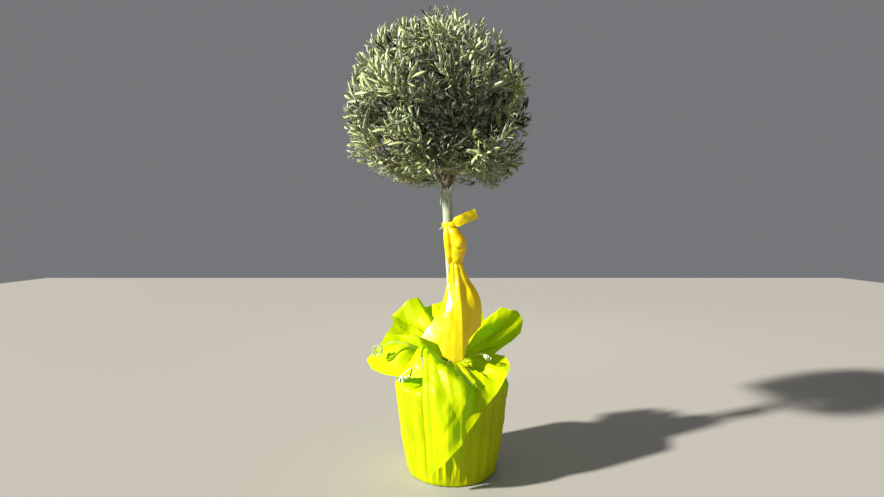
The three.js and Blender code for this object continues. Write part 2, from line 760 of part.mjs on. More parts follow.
function ribbonDrapeSolid() {
  const last = DRAPE_FOLDS.length - 1;
  const lines = DRAPE_FOLDS.map(([middle, hem], i) => {
    const across = i / last;
    const at = (stop, front) => vector(mix(stop.left, stop.right, across), -KNOT_BORE - front, stop.z);
    const front = DRAPE_WAIST.front + DRAPE_WAIST.bulge * Math.sin(Math.PI * across);
    const stops = [at(DRAPE_START, DRAPE_START.front), at(DRAPE_WAIST, front), vector(...middle), vector(...hem)];
    return new THREE.CatmullRomCurve3(stops, false, "centripetal");
  });
  const placeAt = (u, v) => {
    const fold = Math.min(Math.max(Math.floor(u * last), 0), last - 1);
    const [near, far] = [lines[fold], lines[fold + 1]];
    const share = THREE.MathUtils.clamp(v, 0, 1);
    return near.getPointAt(share).lerp(far.getPointAt(share), u * last - fold);
  };
  return seated(solid(sheet(placeAt, RIBBON_THICKNESS, last, DRAPE_ROWS)));
}

// Assembly
add("trunk", trunkSolid(0), BARK);
for (const mass of places) add(`bough_${mass.name}`, fittedBough(mass), BARK);
for (const mass of places) add(`foliage_${mass.name}`, foliageSolid(mass), LEAVES);
add("stem_wrap", stemWrapSolid(), STEM_FILM);
add("pot", potSolid(), POT);
add("soil", soilSolid(), SOIL);
add("film_skirt", filmSkirtSolid(), FILM);
add("film_tie", tieSolid(), TIE);
for (const lobe of LOBES) add(lobe.name, lobeSolid(lobe), FILM);
add("ribbon_knot", knotSolid(0), RIBBON);
add("ribbon_end", ribbonEndSolid(), RIBBON);
add("ribbon_loop", ribbonLoopSolid(), RIBBON);
add("ribbon_drape", ribbonDrapeSolid(), RIBBON);

export default part;
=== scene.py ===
"""A potted olive tree dressed as a gift: bark, leaves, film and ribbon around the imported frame.

Lengths are in millimetres while the shapes are worked out, and become metres when a piece is made.
"""

import math

import bpy
import numpy as np
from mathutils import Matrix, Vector, noise


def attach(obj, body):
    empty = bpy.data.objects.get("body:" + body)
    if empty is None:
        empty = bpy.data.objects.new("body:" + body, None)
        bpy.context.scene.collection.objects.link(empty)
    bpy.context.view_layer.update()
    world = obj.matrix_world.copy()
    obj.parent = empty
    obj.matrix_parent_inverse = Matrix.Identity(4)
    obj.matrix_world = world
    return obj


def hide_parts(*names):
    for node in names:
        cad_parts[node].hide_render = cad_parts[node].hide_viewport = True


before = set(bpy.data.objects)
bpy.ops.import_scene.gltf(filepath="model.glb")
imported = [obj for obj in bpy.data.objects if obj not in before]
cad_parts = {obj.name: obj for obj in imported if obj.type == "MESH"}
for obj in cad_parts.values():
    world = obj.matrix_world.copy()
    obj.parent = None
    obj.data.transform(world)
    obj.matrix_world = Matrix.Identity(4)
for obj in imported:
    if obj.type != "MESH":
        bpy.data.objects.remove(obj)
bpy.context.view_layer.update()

MM = 0.001
GAP = 0.3
SEED = 3
UP = np.array([0.0, 0.0, 1.0])
GOLDEN_ANGLE = math.pi * (3 - math.sqrt(5))

# Sizes that the part's source also has
POT_HEIGHT = 258
POT_BASE_RADIUS = 130
POT_TOP_RADIUS = 160
POT_FLOOR = 1.8
POT_LIP = 5
POT_LIP_HEIGHT = 12
RIM = POT_FLOOR + POT_HEIGHT
SOIL_TOP = RIM - 20
NECK_RADIUS = 35
NECK_HEIGHT = 329

TRUNK_FOOT = SOIL_TOP + GAP
TRUNK_START = TRUNK_FOOT - 6
TRUNK_TOP = 886
TRUNK_FOOT_RADIUS = 17
TRUNK_TOP_RADIUS = 12.5
ROOT_FLARE = 9
FLARE_FADE = 16
# The trunk swells at its fork, which is this share of the way up
FORK_SHARE = 0.955
FORK_SWELL = 3.5
STEM_WRAP_BOTTOM = 345
STEM_WRAP_TOP = 843

CROWN_CENTRE = np.array([-40.0, 0.0, 1071.0])
CROWN_RADIUS = 270
CROWN_ABOVE = 284
CROWN_BELOW = 240
CROWN_UNDERSIDE = 3
BARE_RADIUS = 42
BARE_HEIGHT = 888

KNOT_HEIGHT = 735

# Shells of shoots from the outside in: how many, and the shares of the crown between which they end
SHELLS = ((620, 0.8, 1.0), (230, 0.56, 0.8), (100, 0.34, 0.58))
# Shares of the crown that a mass's stem and its twigs reach, and past which a shoot is an outer one
STEM_REACH = 0.84
TWIG_REACH = 0.97
OUTER_REACH = 0.82
SHOOT_LENGTH = 85
LEAF_LENGTH = 50
LEAF_WIDTH = 9.6
# The furthest that a leaf's tip reaches, as a share of the crown's outline
TIP_LIMIT = 1.055
# The crown's ragged underside: places from left to right, and how low its leaves hang there
CROWN_LOWEST = ((-310, -170, -110, -50, 60, 130, 200, 240), (936, 872, 854, 862, 862, 842, 840, 870))
# The way from the crown's centre to the shaded hollow in its front
HOLLOW_WAY = np.array([0.14, -0.97, -0.2])
# Leaves turn towards the light, and the sprays that face it get paler leaves as painted sunlight
LIGHT_WAY = np.array([-0.76, -0.4, 0.51])


def mix(a, b, t):
    return a + (b - a) * t


def unit(v):
    return v / np.linalg.norm(v, axis=-1, keepdims=True)


def smooth_step(low, high, value):
    t = np.clip((value - low) / (high - low), 0, 1)
    return t * t * (3 - 2 * t)


def source_stream(seed):
    """The part's own stream of numbers from 0 to 1."""
    mask = 0xFFFFFFFF
    state = seed & mask
    while True:
        state = (state + 0x6D2B79F5) & mask
        bits = ((state ^ (state >> 15)) * (state | 1)) & mask
        bits ^= (bits + (((bits ^ (bits >> 7)) * (bits | 61)) & mask)) & mask
        yield ((bits ^ (bits >> 14)) & mask) / 4294967296


# Curves and meshes


def bezier(points, t):
    """A point, or points for an array t, on a Bezier curve of any degree."""
    t = np.asarray(t, float)[..., None]
    layer = [np.asarray(p, float) for p in points]
    while len(layer) > 1:
        layer = [a * (1 - t) + b * t for a, b in zip(layer, layer[1:])]
    return layer[0]


class Line:
    """A curve held as close points, read by the share of its length."""

    def __init__(self, points):
        self.points = np.asarray(points, float)
        steps = np.linalg.norm(np.diff(self.points, axis=0), axis=1)
        self.share = np.concatenate([[0], np.cumsum(steps)])
        self.length = self.share[-1]
        self.share /= self.length

    def at(self, t):
        columns = [np.interp(t, self.share, self.points[:, k]) for k in range(3)]
        return np.stack(columns, axis=-1)

    def along(self, t):
        step = 0.01
        return unit(self.at(np.minimum(t + step, 1)) - self.at(np.maximum(t - step, 0)))


def bezier_line(*points):
    return Line(bezier(points, np.linspace(0, 1, 60)))


def catmull_rom(points, samples):
    """A centripetal Catmull-Rom curve through the points."""
    pts = [np.array(p, float) for p in points]
    pts = [2 * pts[0] - pts[1], *pts, 2 * pts[-1] - pts[-2]]
    out = []
    for a, b, c, d in zip(pts, pts[1:], pts[2:], pts[3:]):
        ab, bc, cd = (np.linalg.norm(q - p) ** 0.5 for p, q in ((a, b), (b, c), (c, d)))
        start = (b - a) / ab - (c - a) / (ab + bc) + (c - b) / bc
        finish = (c - b) / bc - (d - b) / (bc + cd) + (d - c) / cd
        start, finish = start * bc, finish * bc
        t = np.linspace(0, 1, samples, endpoint=False)[:, None]
        near, far = 2 * t**3 - 3 * t**2 + 1, -2 * t**3 + 3 * t**2
        out.append(near * b + (t**3 - 2 * t**2 + t) * start + far * c + (t**3 - t**2) * finish)
    return Line(np.concatenate([*out, [pts[-2]]]))


def put_in_scene(item):
    bpy.context.scene.collection.objects.link(item)


def quads(ids):
    """Four-sided faces over a net of vertex numbers."""
    faces = np.stack([ids[:-1, :-1], ids[:-1, 1:], ids[1:, 1:], ids[1:, :-1]], axis=-1)
    return faces.reshape(-1, 4)


def net_of(x, y, z):
    """A net of places from its coordinates, each a net, a row or a column."""
    return np.stack(np.broadcast_arrays(x, y, z), axis=-1)


def net_between(lines, knots, wanted):
    """A net across lines that stand at knots: a column at each wanted value, straight from line to line."""
    places = np.empty((lines.shape[1], len(wanted), 3))
    for row, axis in np.ndindex(lines.shape[1], 3):
        places[row, :, axis] = np.interp(wanted, knots, lines[:, row, axis])
    return places


def net_normals(places):
    return unit(np.cross(np.gradient(places, axis=0), np.gradient(places, axis=1)))


def raised(places, rise):
    """A net with each place moved by its rise along the normal."""
    return places + net_normals(places) * rise[..., None]


def frames_along(ahead):
    """Two directions across a path at each of its points, which turn as little as they can."""
    side = unit(np.cross(ahead[0], [0.31, 0.87, 0.23]))
    for forward in ahead:
        side = unit(side - forward * side.dot(forward))
        yield side, np.cross(forward, side)


def circle(sides):
    return np.arange(sides) * (2 * math.pi / sides)


class Shape:
    """Vertices and faces gathered for one piece."""

    def __init__(self):
        self.vertices, self.faces, self.slots, self.count = [], [], [], 0

    def add(self, vertices, faces):
        self.add_faces(np.asarray(faces) + self.count)
        self.vertices.append(np.asarray(vertices, float).reshape(-1, 3))
        self.count += len(self.vertices[-1])

    def add_faces(self, faces, slot=0):
        self.faces.append(faces)
        self.slots.append(np.full(len(faces), slot))

    def grid(self, places, wrap=False):
        """A net of quads over places[row][column]. wrap joins the last column to the first."""
        rows, columns = places.shape[:2]
        ids = np.arange(rows * columns).reshape(rows, columns)
        if wrap:
            ids = np.concatenate([ids, ids[:, :1]], axis=1)
        self.add(places, quads(ids))

    def limb(self, rings):
        """A tube through rings of places, each end closed to its middle."""
        ids = self.count + np.arange(rings[..., 0].size).reshape(rings.shape[:2])
        self.grid(rings, wrap=True)
        for ring, places in ((ids[0, ::-1], rings[0]), (ids[-1], rings[-1])):
            middle = np.full(len(ring), self.count)
            self.add_faces(np.stack([ring, np.roll(ring, -1), middle], axis=1))
            self.vertices.append(places.mean(axis=0)[None])
            self.count += 1

    def tube(self, path, radii, sides):
        """A round tapering tube along a path."""
        cosines, sines = np.cos(circle(sides))[:, None], np.sin(circle(sides))[:, None]
        frames = frames_along(unit(np.gradient(path, axis=0)))
        rings = [
            place + (cosines * side + sines * up) * radius
            for place, (side, up), radius in zip(path, frames, radii)
        ]
        self.limb(np.array(rings))

    def slab(self, places, thickness):
        """A closed sheet of this thickness about a net of places."""
        offset = net_normals(places) * (thickness / 2)
        rows, columns = places.shape[:2]
        ids = np.arange(rows * columns).reshape(rows, columns)
        front = quads(ids)
        back = front[:, [0, 3, 2, 1]] + ids.size
        rim = np.concatenate([ids[0], ids[1:, -1], ids[-1, -2::-1], ids[-2:0:-1, 0]])
        after = np.roll(rim, -1)
        edge = np.stack([after, rim, rim + ids.size, after + ids.size], axis=-1)
        self.add([places + offset, places - offset], np.concatenate([front, back, edge]))

    def strip(self, path, across, count, thickness):
        """A closed band along a path. across is its whole width, at each place or the same for all."""
        offsets = np.linspace(-0.5, 0.5, count)[:, None]
        self.slab(path[:, None] + np.atleast_2d(across)[:, None] * offsets, thickness)

    def build(self, name, materials, replaces, slot_name):
        """Makes the mesh in metres, and rides it on the plant's one body."""
        mesh = bpy.data.meshes.new(name)
        vertices = np.concatenate(self.vertices) * MM
        faces, slots = self.faces, np.concatenate(self.slots)
        sizes = np.concatenate([np.full(len(f), f.shape[1]) for f in faces])
        corners = np.concatenate([f.ravel() for f in faces])
        mesh.vertices.add(len(vertices))
        mesh.vertices.foreach_set("co", vertices.ravel())
        mesh.loops.add(len(corners))
        mesh.loops.foreach_set("vertex_index", corners)
        mesh.polygons.add(len(sizes))
        starts = np.concatenate([[0], np.cumsum(sizes)[:-1]])
        mesh.polygons.foreach_set("loop_start", starts)
        mesh.polygons.foreach_set("material_index", slots)
        mesh.polygons.foreach_set("use_smooth", np.full(len(sizes), True))
        mesh.update(calc_edges=True)
        mesh.validate()
        for item in materials:
            mesh.materials.append(item)
        piece = bpy.data.objects.new(name, mesh)
        put_in_scene(piece)
        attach(piece, "root")
        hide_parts(*replaces)
        return piece


# Materials


def linear(hex_colour):
    """An sRGB colour such as 0x8D9A72 as linear red, green, blue and alpha."""
    values = [(hex_colour >> shift & 255) / 255 for shift in (16, 8, 0)]
    return [v / 12.92 if v <= 0.04045 else ((v + 0.055) / 1.055) ** 2.4 for v in values] + [1]


def new_material(name, colour, roughness, **sockets):
    """A material whose Principled shader has these values on its own sockets."""
    made = bpy.data.materials.new(name)
    made.use_nodes = True
    shader = made.node_tree.nodes["Principled BSDF"]
    shader.inputs["Base Color"].default_value = linear(colour)
    shader.inputs["Roughness"].default_value = roughness
    for key, value in sockets.items():
        shader.inputs[key.replace("_", " ")].default_value = value
    return made


class Look:
    """A material with a pattern, made by short calls."""

    def __init__(self, name, colour, roughness, **sockets):
        self.made = new_material(name, colour, roughness, **sockets)
        self.tree = self.made.node_tree
        self.shader = self.tree.nodes["Principled BSDF"]
        self.place = self.node("TexCoord").outputs["Object"]

    def link(self, source, target):
        self.tree.links.new(source, target)

    def node(self, kind, links=(), **values):
        """A node of this kind, with links of (socket name, source) and with values on its other sockets."""
        node = self.tree.nodes.new("ShaderNode" + kind)
        for key, source in links:
            self.link(source, node.inputs[key])
        for key, value in values.items():
            node.inputs[key.replace("_", " ")].default_value = value
        return node

    def noise(self, scale, detail, stretch=(1, 1, 1), distortion=0.0):
        mapped = self.node("Mapping", [("Vector", self.place)], Scale=stretch).outputs["Vector"]
        node = self.node("TexNoise", [("Vector", mapped)], Scale=scale, Detail=detail, Distortion=distortion)
        return node.outputs["Fac"]

    def cells(self, scale):
        return self.node("TexVoronoi", [("Vector", self.place)], Scale=scale).outputs["Distance"]

    def ramp(self, value, *stops):
        node = self.node("ValToRGB", [("Fac", value)])
        points = node.color_ramp.elements
        while len(points) < len(stops):
            points.new(0.5)
        for point, (where, colour) in zip(points, stops):
            point.position = where
            point.color = linear(colour)
        return node.outputs["Color"]

    def blend(self, one, other, share):
        node = self.node("Mix")
        node.data_type = "RGBA"
        node.inputs["Factor"].default_value = share
        self.link(one, node.inputs["A"])
        self.link(other, node.inputs["B"])
        return node.outputs["Result"]

    def paint(self, colour):
        self.link(colour, self.shader.inputs["Base Color"])

    def bump(self, height, depth_mm, strength=1.0):
        node = self.node("Bump", [("Height", height)], Strength=strength, Distance=depth_mm * MM)
        self.link(node.outputs["Normal"], self.shader.inputs["Normal"])
        return node.outputs["Normal"]

    def let_light_through(self, colour, share, normal=None):
        """Mixes in a Translucent shader, as thin film and leaves pass light on."""
        through = self.node("BsdfTranslucent", [("Normal", normal)] if normal else (), Color=linear(colour))
        mixed = self.node("MixShader", Fac=share)
        self.link(self.shader.outputs["BSDF"], mixed.inputs[1])
        self.link(through.outputs["BSDF"], mixed.inputs[2])
        self.link(mixed.outputs["Shader"], self.tree.nodes["Material Output"].inputs["Surface"])


def leaf_material(name, colour):
    look = Look(name, colour, 0.36)
    look.let_light_through(colour, 0.14)
    return look.made


def bark_material():
    look = Look("bark", 0x7D7461, 0.85)
    fissures = look.noise(140, 6, (1, 1, 0.22), 0.6)
    grain = look.ramp(fissures, (0.3, 0x4A3C2E), (0.5, 0x77695A), (0.72, 0x9C9180))
    warmth = look.ramp(look.noise(38, 3), (0.35, 0x5E4435), (0.6, 0x8A8274), (0.8, 0x8F8A6E))
    look.paint(look.blend(grain, warmth, 0.45))
    look.bump(fissures, 0.8)
    return look.made


def film_material():
    gloss = {"Specular_IOR_Level": 0.15, "Coat_Weight": 0.07, "Coat_Roughness": 0.16}
    look = Look("lime_film", 0xE0EA00, 0.42, **gloss)
    look.paint(look.ramp(look.noise(9, 4), (0.3, 0xD4E000), (0.5, 0xE0EA00), (0.72, 0xEAF200)))
    normal = look.bump(look.noise(85, 3, (1, 1, 0.6), 1.2), 0.6, 0.5)
    look.let_light_through(0x82E600, 0.45, normal)
    return look.made


def ribbon_material():
    look = Look("yellow_ribbon", 0xF8F600, 0.34, Coat_Weight=0.8, Coat_Roughness=0.2)
    look.paint(look.ramp(look.noise(14, 3), (0.3, 0xF2EE00), (0.55, 0xF8F600), (0.8, 0xFEFE10)))
    normal = look.bump(look.noise(420, 2, (1, 1, 0.15)), 0.25, 0.5)
    look.let_light_through(0xFFDC00, 0.5, normal)
    return look.made


def stem_film_material():
    look = Look("stem_film", 0xC3CBB4, 0.4, Coat_Weight=0.35, Coat_Roughness=0.25)
    streaks = look.noise(210, 4, (1, 1, 0.05), 0.4)
    look.paint(look.ramp(streaks, (0.3, 0x8F9C80), (0.5, 0xBBC6AC), (0.7, 0xDDE3D2)))
    look.let_light_through(0xC4D0B0, 0.2, look.bump(streaks, 0.5, 0.6))
    return look.made


def tie_material():
    look = Look("tie", 0xD9F0B4, 0.35, Coat_Weight=0.3)
    ribs = look.noise(900, 2, (1, 1, 0.2))
    look.paint(look.ramp(ribs, (0.3, 0xD9EDC0), (0.7, 0xF7FAEA)))
    look.let_light_through(0xE4F7C0, 0.25, look.bump(ribs, 0.2, 0.5))
    return look.made


def pot_material():
    look = Look("pot_plastic", 0x2A2D2B, 0.6)
    scuffs = look.noise(60, 5)
    look.paint(look.ramp(scuffs, (0.35, 0x232624), (0.75, 0x3A3E3B)))
    level = look.node("MapRange", [("Value", scuffs)], To_Min=0.45, To_Max=0.75)
    look.link(level.outputs["Result"], look.shader.inputs["Roughness"])
    look.bump(look.noise(700, 2), 0.15, 0.5)
    return look.made


def soil_material():
    look = Look("compost", 0x3B2C20, 0.95)
    crumbs = look.cells(160)
    look.paint(look.ramp(crumbs, (0.1, 0x4C3828), (0.45, 0x2E2118), (0.8, 0x17110C)))
    look.bump(crumbs, 3.0)
    return look.made


# Trunk and boughs

TRUNK_PLACES = (
    (4, 0, TRUNK_START), (5, 2, 400), (2, 3, 550), (-9, 1, 700), (-14, 0, 800), (-15, 0, TRUNK_TOP)
)
TRUNK_LINE = catmull_rom(TRUNK_PLACES, 60)


def along_trunk(height):
    return (height - TRUNK_START) / (TRUNK_TOP - TRUNK_START)


def trunk_radius(along):
    rise = along * (TRUNK_TOP - TRUNK_START)
    flare = ROOT_FLARE * np.exp(-rise / FLARE_FADE)
    swell = FORK_SWELL * np.exp(-(((along - FORK_SHARE) / 0.035) ** 2))
    return mix(TRUNK_FOOT_RADIUS, TRUNK_TOP_RADIUS, along) + flare + swell


TIERS = (
    ("low", 6, 20, 168, 930),
    ("middle", 6, 50, 182, 1074),
    ("high", 4, 15, 132, 1208),
    ("top", 1, 0, 0, 1262),
)
TIP_SHARE = {"low": 0.5, "middle": 0.52, "high": 0.42, "top": 0.62}
ROOT_RADIUS = {"low": 4.6, "middle": 7, "high": 4.4, "top": 8}
LIFT = {"low": -0.12, "middle": 0.02, "high": -0.05, "top": 0}
TWIG_LIFT = {"low": -0.28, "middle": 0.12, "high": 0.3, "top": 0.3}
TIP_RADIUS = 3
TWIG_RADIUS = 1.9
TWIGS = 7
HEAD = TRUNK_LINE.at(0.97)


class Mass:
    """One mass of foliage: its place in the crown, and the bough that carries it."""

    def __init__(self, tier, index, count, turn, radius, height):
        self.tier = tier
        self.index = index
        self.name = f"{tier}_{index + 1}" if count > 1 else tier
        angle = math.radians(turn + 360 * index / count)
        self.seed = np.array(
            [CROWN_CENTRE[0] + radius * math.cos(angle), radius * math.sin(angle), height]
        )


MASSES = [
    Mass(tier, index, count, turn, radius, height)
    for tier, count, turn, radius, height in TIERS
    for index in range(count)
]
SEEDS = np.array([mass.seed for mass in MASSES])


def reach_of(place):
    """How far out in the crown a place is: 1 on its outline."""
    offset = place - CROWN_CENTRE
    flat = np.hypot(offset[..., 0], offset[..., 1]) / CROWN_RADIUS
    rise = offset[..., 2]
    above = np.hypot(flat, np.maximum(rise, 0) / CROWN_ABOVE)
    drop = np.maximum(-rise, 0) / CROWN_BELOW
    below = (flat**CROWN_UNDERSIDE + drop**CROWN_UNDERSIDE) ** (1 / CROWN_UNDERSIDE)
    return np.where(rise > 0, above, below)


def clear_below(place):
    """Whether a place is above the crown's ragged underside and away from the bare top of the stem."""
    lowest = np.interp(place[0], *CROWN_LOWEST)
    near_stem = math.hypot(place[0] - HEAD[0], place[1] - HEAD[1]) < BARE_RADIUS
    return place[2] > (BARE_HEIGHT if near_stem else lowest)


def bough_line(mass, lines):
    tip = mix(HEAD, mass.seed, TIP_SHARE[mass.tier])
    root = TRUNK_LINE.at(FORK_SHARE - 0.007 * (mass.index % 3))
    if mass.tier == "top":
        root = TRUNK_LINE.at(1.0) + UP * GAP
    if mass.tier == "high":
        root = lines["top"].at(0.3 + 0.16 * (mass.index % 3))
    if mass.tier == "low":
        root = lines[f"middle_{mass.index + 1}"].at(0.3)
        tip = tip + UP * 6
    span = tip - root
    control = root + span * 0.5 + UP * LIFT[mass.tier] * np.linalg.norm(span)
    if mass.tier == "top":
        control[0] += 6
    return bezier_line(root, control, tip)


BOUGHS = {}
for wanted in ("top", "middle", "high", "low"):
    for one in MASSES:
        if one.tier == wanted:
            BOUGHS[one.name] = bough_line(one, BOUGHS)


def rough(place, scale, height_stretch):
    """Smooth noise that runs lengthwise, about -1 to 1."""
    return noise.fractal(
        Vector((place[0] * scale, place[1] * scale, place[2] * scale * height_stretch)), 0.7, 2.1, 4
    )


def bark_tube(shape, line, radius_at, sides, steps, relief, start=0.0):
    """A limb whose bark has lengthwise ridges and furrows, none deeper than relief."""
    shares = np.linspace(start, 1, steps)
    rings = []
    for place, (side, up), share in zip(line.at(shares), frames_along(line.along(shares)), shares):
        radius = radius_at(share)
        ring = []
        for angle in circle(sides):
            out = side * math.cos(angle) + up * math.sin(angle)
            spot = place + out * radius
            furrow = min(1.0, abs(rough(spot, 0.09, 0.25)) * 1.6)
            knots = max(0.0, rough(spot + 400, 0.03, 0.6)) * 0.5
            ring.append(place + out * (radius + relief * (knots - furrow)))
        rings.append(ring)
    shape.limb(np.array(rings))


def make_wood(bark):
    trunk = Shape()
    flat_start = along_trunk(TRUNK_FOOT)
    bark_tube(trunk, TRUNK_LINE, lambda t: trunk_radius(t) - 0.2, 40, 260, 1.1, flat_start)
    trunk.build("trunk_bark", [bark], ["trunk"], "bark")
    limbs = Shape()
    for mass in MASSES:
        root = ROOT_RADIUS[mass.tier]
        sides = 14 if root > 6 else 10
        bark_tube(limbs, BOUGHS[mass.name], lambda t: mix(root, TIP_RADIUS, t**0.8), sides, 46, 0.5)
    limbs.build("bough_bark", [bark], [f"bough_{m.name}" for m in MASSES], "bark")


# Foliage


def spoke(along, hint, turn):
    """The way out from a line at this turn round it. hint is another direction, to start from."""
    side = unit(np.cross(along, hint))
    return side * math.cos(turn) + np.cross(side, along) * math.sin(turn)


def mass_lines(mass):
    """The stem of a mass and its twigs, by the source's rule."""
    random = source_stream(SEED + 101 * MASSES.index(mass))
    bough = BOUGHS[mass.name]
    tip, out = bough.at(1.0), bough.along(1.0)
    towards = unit(mass.seed - HEAD)
    end = mass.seed.copy()
    while reach_of(end) < STEM_REACH:
        end = end + towards * 4
    start = tip + out * GAP
    length = np.linalg.norm(end - start)
    stem = bezier_line(start, start + out * length * 0.4, end)
    twigs = []
    for i in range(TWIGS):
        at = mix(0.12, 0.9, i / (TWIGS - 1))
        root, along = stem.at(at), stem.along(at)
        away = spoke(along, UP, i * GOLDEN_ANGLE + next(random) * 0.5)
        direction = along * 0.62 + away * 0.78
        direction[2] += TWIG_LIFT[mass.tier]
        direction = unit(direction)
        reach = mix(92, 66, i / (TWIGS - 1)) * mix(0.85, 1.15, next(random))
        bend = root + direction * reach / 2 - UP * 4
        twigs.append(bezier_line(root, bend, root + direction * reach))
    return stem, twigs


def clump(way):
    """How far the crown swells or draws in that way, about -0.5 to 0.5: it is made of many leafy clumps."""
    return noise.noise(Vector(way * 2.7 + 5)) + 0.5 * noise.noise(Vector(way * 6.1 + 9))


def hollow(way):
    """How deep in the shaded hollow of the crown's front that way looks, 0 to 1."""
    return float(smooth_step(0.87, 0.98, way @ HOLLOW_WAY))


def shoot_targets(random):
    """Where the shoots end: three shells of the crown, fuller where a clump stands out."""
    targets = []
    for shell, (count, low, high) in enumerate(SHELLS):
        for i in range(count):
            rise = 1 - 2 * (i + 0.5) / count
            angle = i * GOLDEN_ANGLE + random.normal(0, 0.12)
            ring = math.sqrt(1 - rise * rise)
            way = np.array([ring * math.cos(angle), ring * math.sin(angle), rise + random.normal(0, 0.04)])
            way = unit(way)
            swell = clump(way)
            reach = random.uniform(low, high) * (1 + 0.32 * swell)
            if shell == 0:
                skirt = smooth_step(-0.3, -0.5, way[2])
                reach = mix(reach, random.uniform(0.9, 1.01), skirt)
                reach = min(reach, TIP_LIMIT - 0.03) * (1 - 0.3 * hollow(way))
                thin = swell < -0.22 and random.random() < 0.5 * (1 - skirt)
                if thin or random.random() < 0.45 * hollow(way):
                    continue
            step = 320.0
            while reach_of(CROWN_CENTRE + way * step) > 1:
                step -= 2
            targets.append((CROWN_CENTRE + way * step * reach, way))
    return targets


LEAF_STATIONS = (0.0, 0.1, 0.36, 0.7, 1.0)
LEAF_HALF_WIDTHS = (0.09, 0.14, 0.95, 0.78, 0.0)
LEAF_RIDGE = 0.45


class Leaves:
    """Leaf blades of one colour, each a closed blade with a ridge down the middle of its underside."""

    def __init__(self):
        self.rows = []

    def add(self, root, along, face, length, width, bend, fold):
        self.rows.append((*root, *along, *face, length, width, bend, fold))

    def shape(self):
        data = np.array(self.rows)
        root, along, face = data[:, 0:3], unit(data[:, 3:6]), data[:, 6:9]
        length, width, bend, fold = data[:, 9:13].T[..., None]
        face = unit(face - along * (face * along).sum(axis=1)[:, None])
        across = np.cross(face, along)
        blade, spine = [], []
        for t, half in zip(LEAF_STATIONS, LEAF_HALF_WIDTHS):
            centre = root + along * length * (t - 0.25 * bend * t * t) - face * length * bend * t * t
            side, lift = across * width * half / 2, face * width * half * fold
            blade += [centre - side + lift, centre, centre + side + lift]
            spine.append(centre - face * LEAF_RIDGE)
        last = len(LEAF_STATIONS) - 1
        tip, under = 3 * last, 3 * last + 1
        places = np.stack([*blade[:tip], blade[tip + 1], *spine[:last]], axis=1)
        top, low = [], []
        for k in range(last - 1):
            a, b = 3 * k, 3 * k + 3
            top += [(a, a + 1, b + 1, b), (a + 1, a + 2, b + 2, b + 1)]
            low += [(a, b, under + k + 1, under + k), (under + k, under + k + 1, b + 2, a + 2)]
        a, end = tip - 3, under + last - 1
        top_ends = [(a, a + 1, tip), (a + 1, a + 2, tip)]
        low_ends = [(a, tip, end), (end, tip, a + 2), (0, under, 1), (1, under, 2)]
        first_ids = np.arange(len(data))[:, None, None] * places.shape[1]
        shape = Shape()
        shape.vertices.append(places.reshape(-1, 3))
        for faces, slot in ((top, 0), (top_ends, 0), (low, 1), (low_ends, 1)):
            shape.add_faces((np.array(faces) + first_ids).reshape(-1, len(faces[0])), slot)
        return shape


# Each kind of leaf with its material's name and its colour. The sage leaf also serves as painted sunlight on
# the sprays that face the light, and the deep green leaf as painted shade inside the crown and in its
# hollow.
LEAF_KINDS = {
    "sage": ("leaf_sage_and_painted_sunlight", 0xBFCC90),
    "grey": ("leaf_grey_green", 0x86946C),
    "deep": ("leaf_deep_green_and_painted_shade", 0x2F3822),
    "young": ("leaf_young", 0xAAB36A),
    "ochre": ("leaf_tawny", 0x8F8E56),
}


def kind_of(place, way, outer, random):
    """The colour of a spray: pale leaves on the sunny side as painted sunlight, dark leaves inside the crown
    and in its front hollow as painted shade, tawny low on the left.
    """
    right_tip = smooth_step(110, 190, place[0]) * smooth_step(940, 900, place[2])
    left = smooth_step(30, -60, place[0]) * smooth_step(985, 905, place[2])
    if random.random() < max(0.12 * smooth_step(960, 880, place[2]), 0.6 * left, 0.7 * right_tip):
        return "ochre"
    pick = random.random()
    # Sprays inside the crown or in its shaded front hollow mostly get the dark leaf: painted shade.
    if not outer or hollow(way) > 0.3 and pick < 0.75:
        return "deep" if pick < 0.66 else "grey"
    if pick < 0.1:
        return "young"
    # Sprays that face the light get the pale sage leaf more often: painted sunlight.
    sunny = 0.5 + 0.5 * float(way @ LIGHT_WAY)
    if pick < 0.1 + 0.8 * sunny**1.5:
        return "sage"
    return "grey" if pick < 0.84 else "deep"


def grow_twigs(wood):
    """The stem and twigs of each mass. Gives the places along them and their ways, by the mass's name."""
    parents = {}
    for mass in MASSES:
        stem, twigs = mass_lines(mass)
        wood.tube(stem.at(np.linspace(0, 1, 14)), np.linspace(TIP_RADIUS, TWIG_RADIUS, 14), 6)
        lines = [stem]
        for twig in twigs:
            if reach_of(twig.at(1.0)) > TWIG_REACH:
                continue
            wood.tube(twig.at(np.linspace(0, 1, 8)), np.linspace(TWIG_RADIUS, 1.3, 8), 5)
            lines.append(twig)
        shares = np.linspace(0.05, 1, 14)
        places = np.concatenate([line.at(shares) for line in lines])
        ways = np.concatenate([line.along(shares) for line in lines])
        parents[mass.name] = (places, ways)
    return parents


def shoot_line(places, ways, place, end_way):
    """A shoot to place, from the one of places that is about SHOOT_LENGTH off and best aimed at it."""
    span = place - places
    distance = np.linalg.norm(span, axis=1)
    ahead = (span * ways).sum(axis=1) / np.maximum(distance, 1)
    pick = int(np.argmin(np.abs(distance - SHOOT_LENGTH) + 45 * (1 - ahead)))
    root, gap = places[pick], distance[pick]
    start_way = unit(ways[pick] + span[pick] / gap)
    return bezier_line(root, root + start_way * gap * 0.35, place - end_way * gap * 0.35, place)


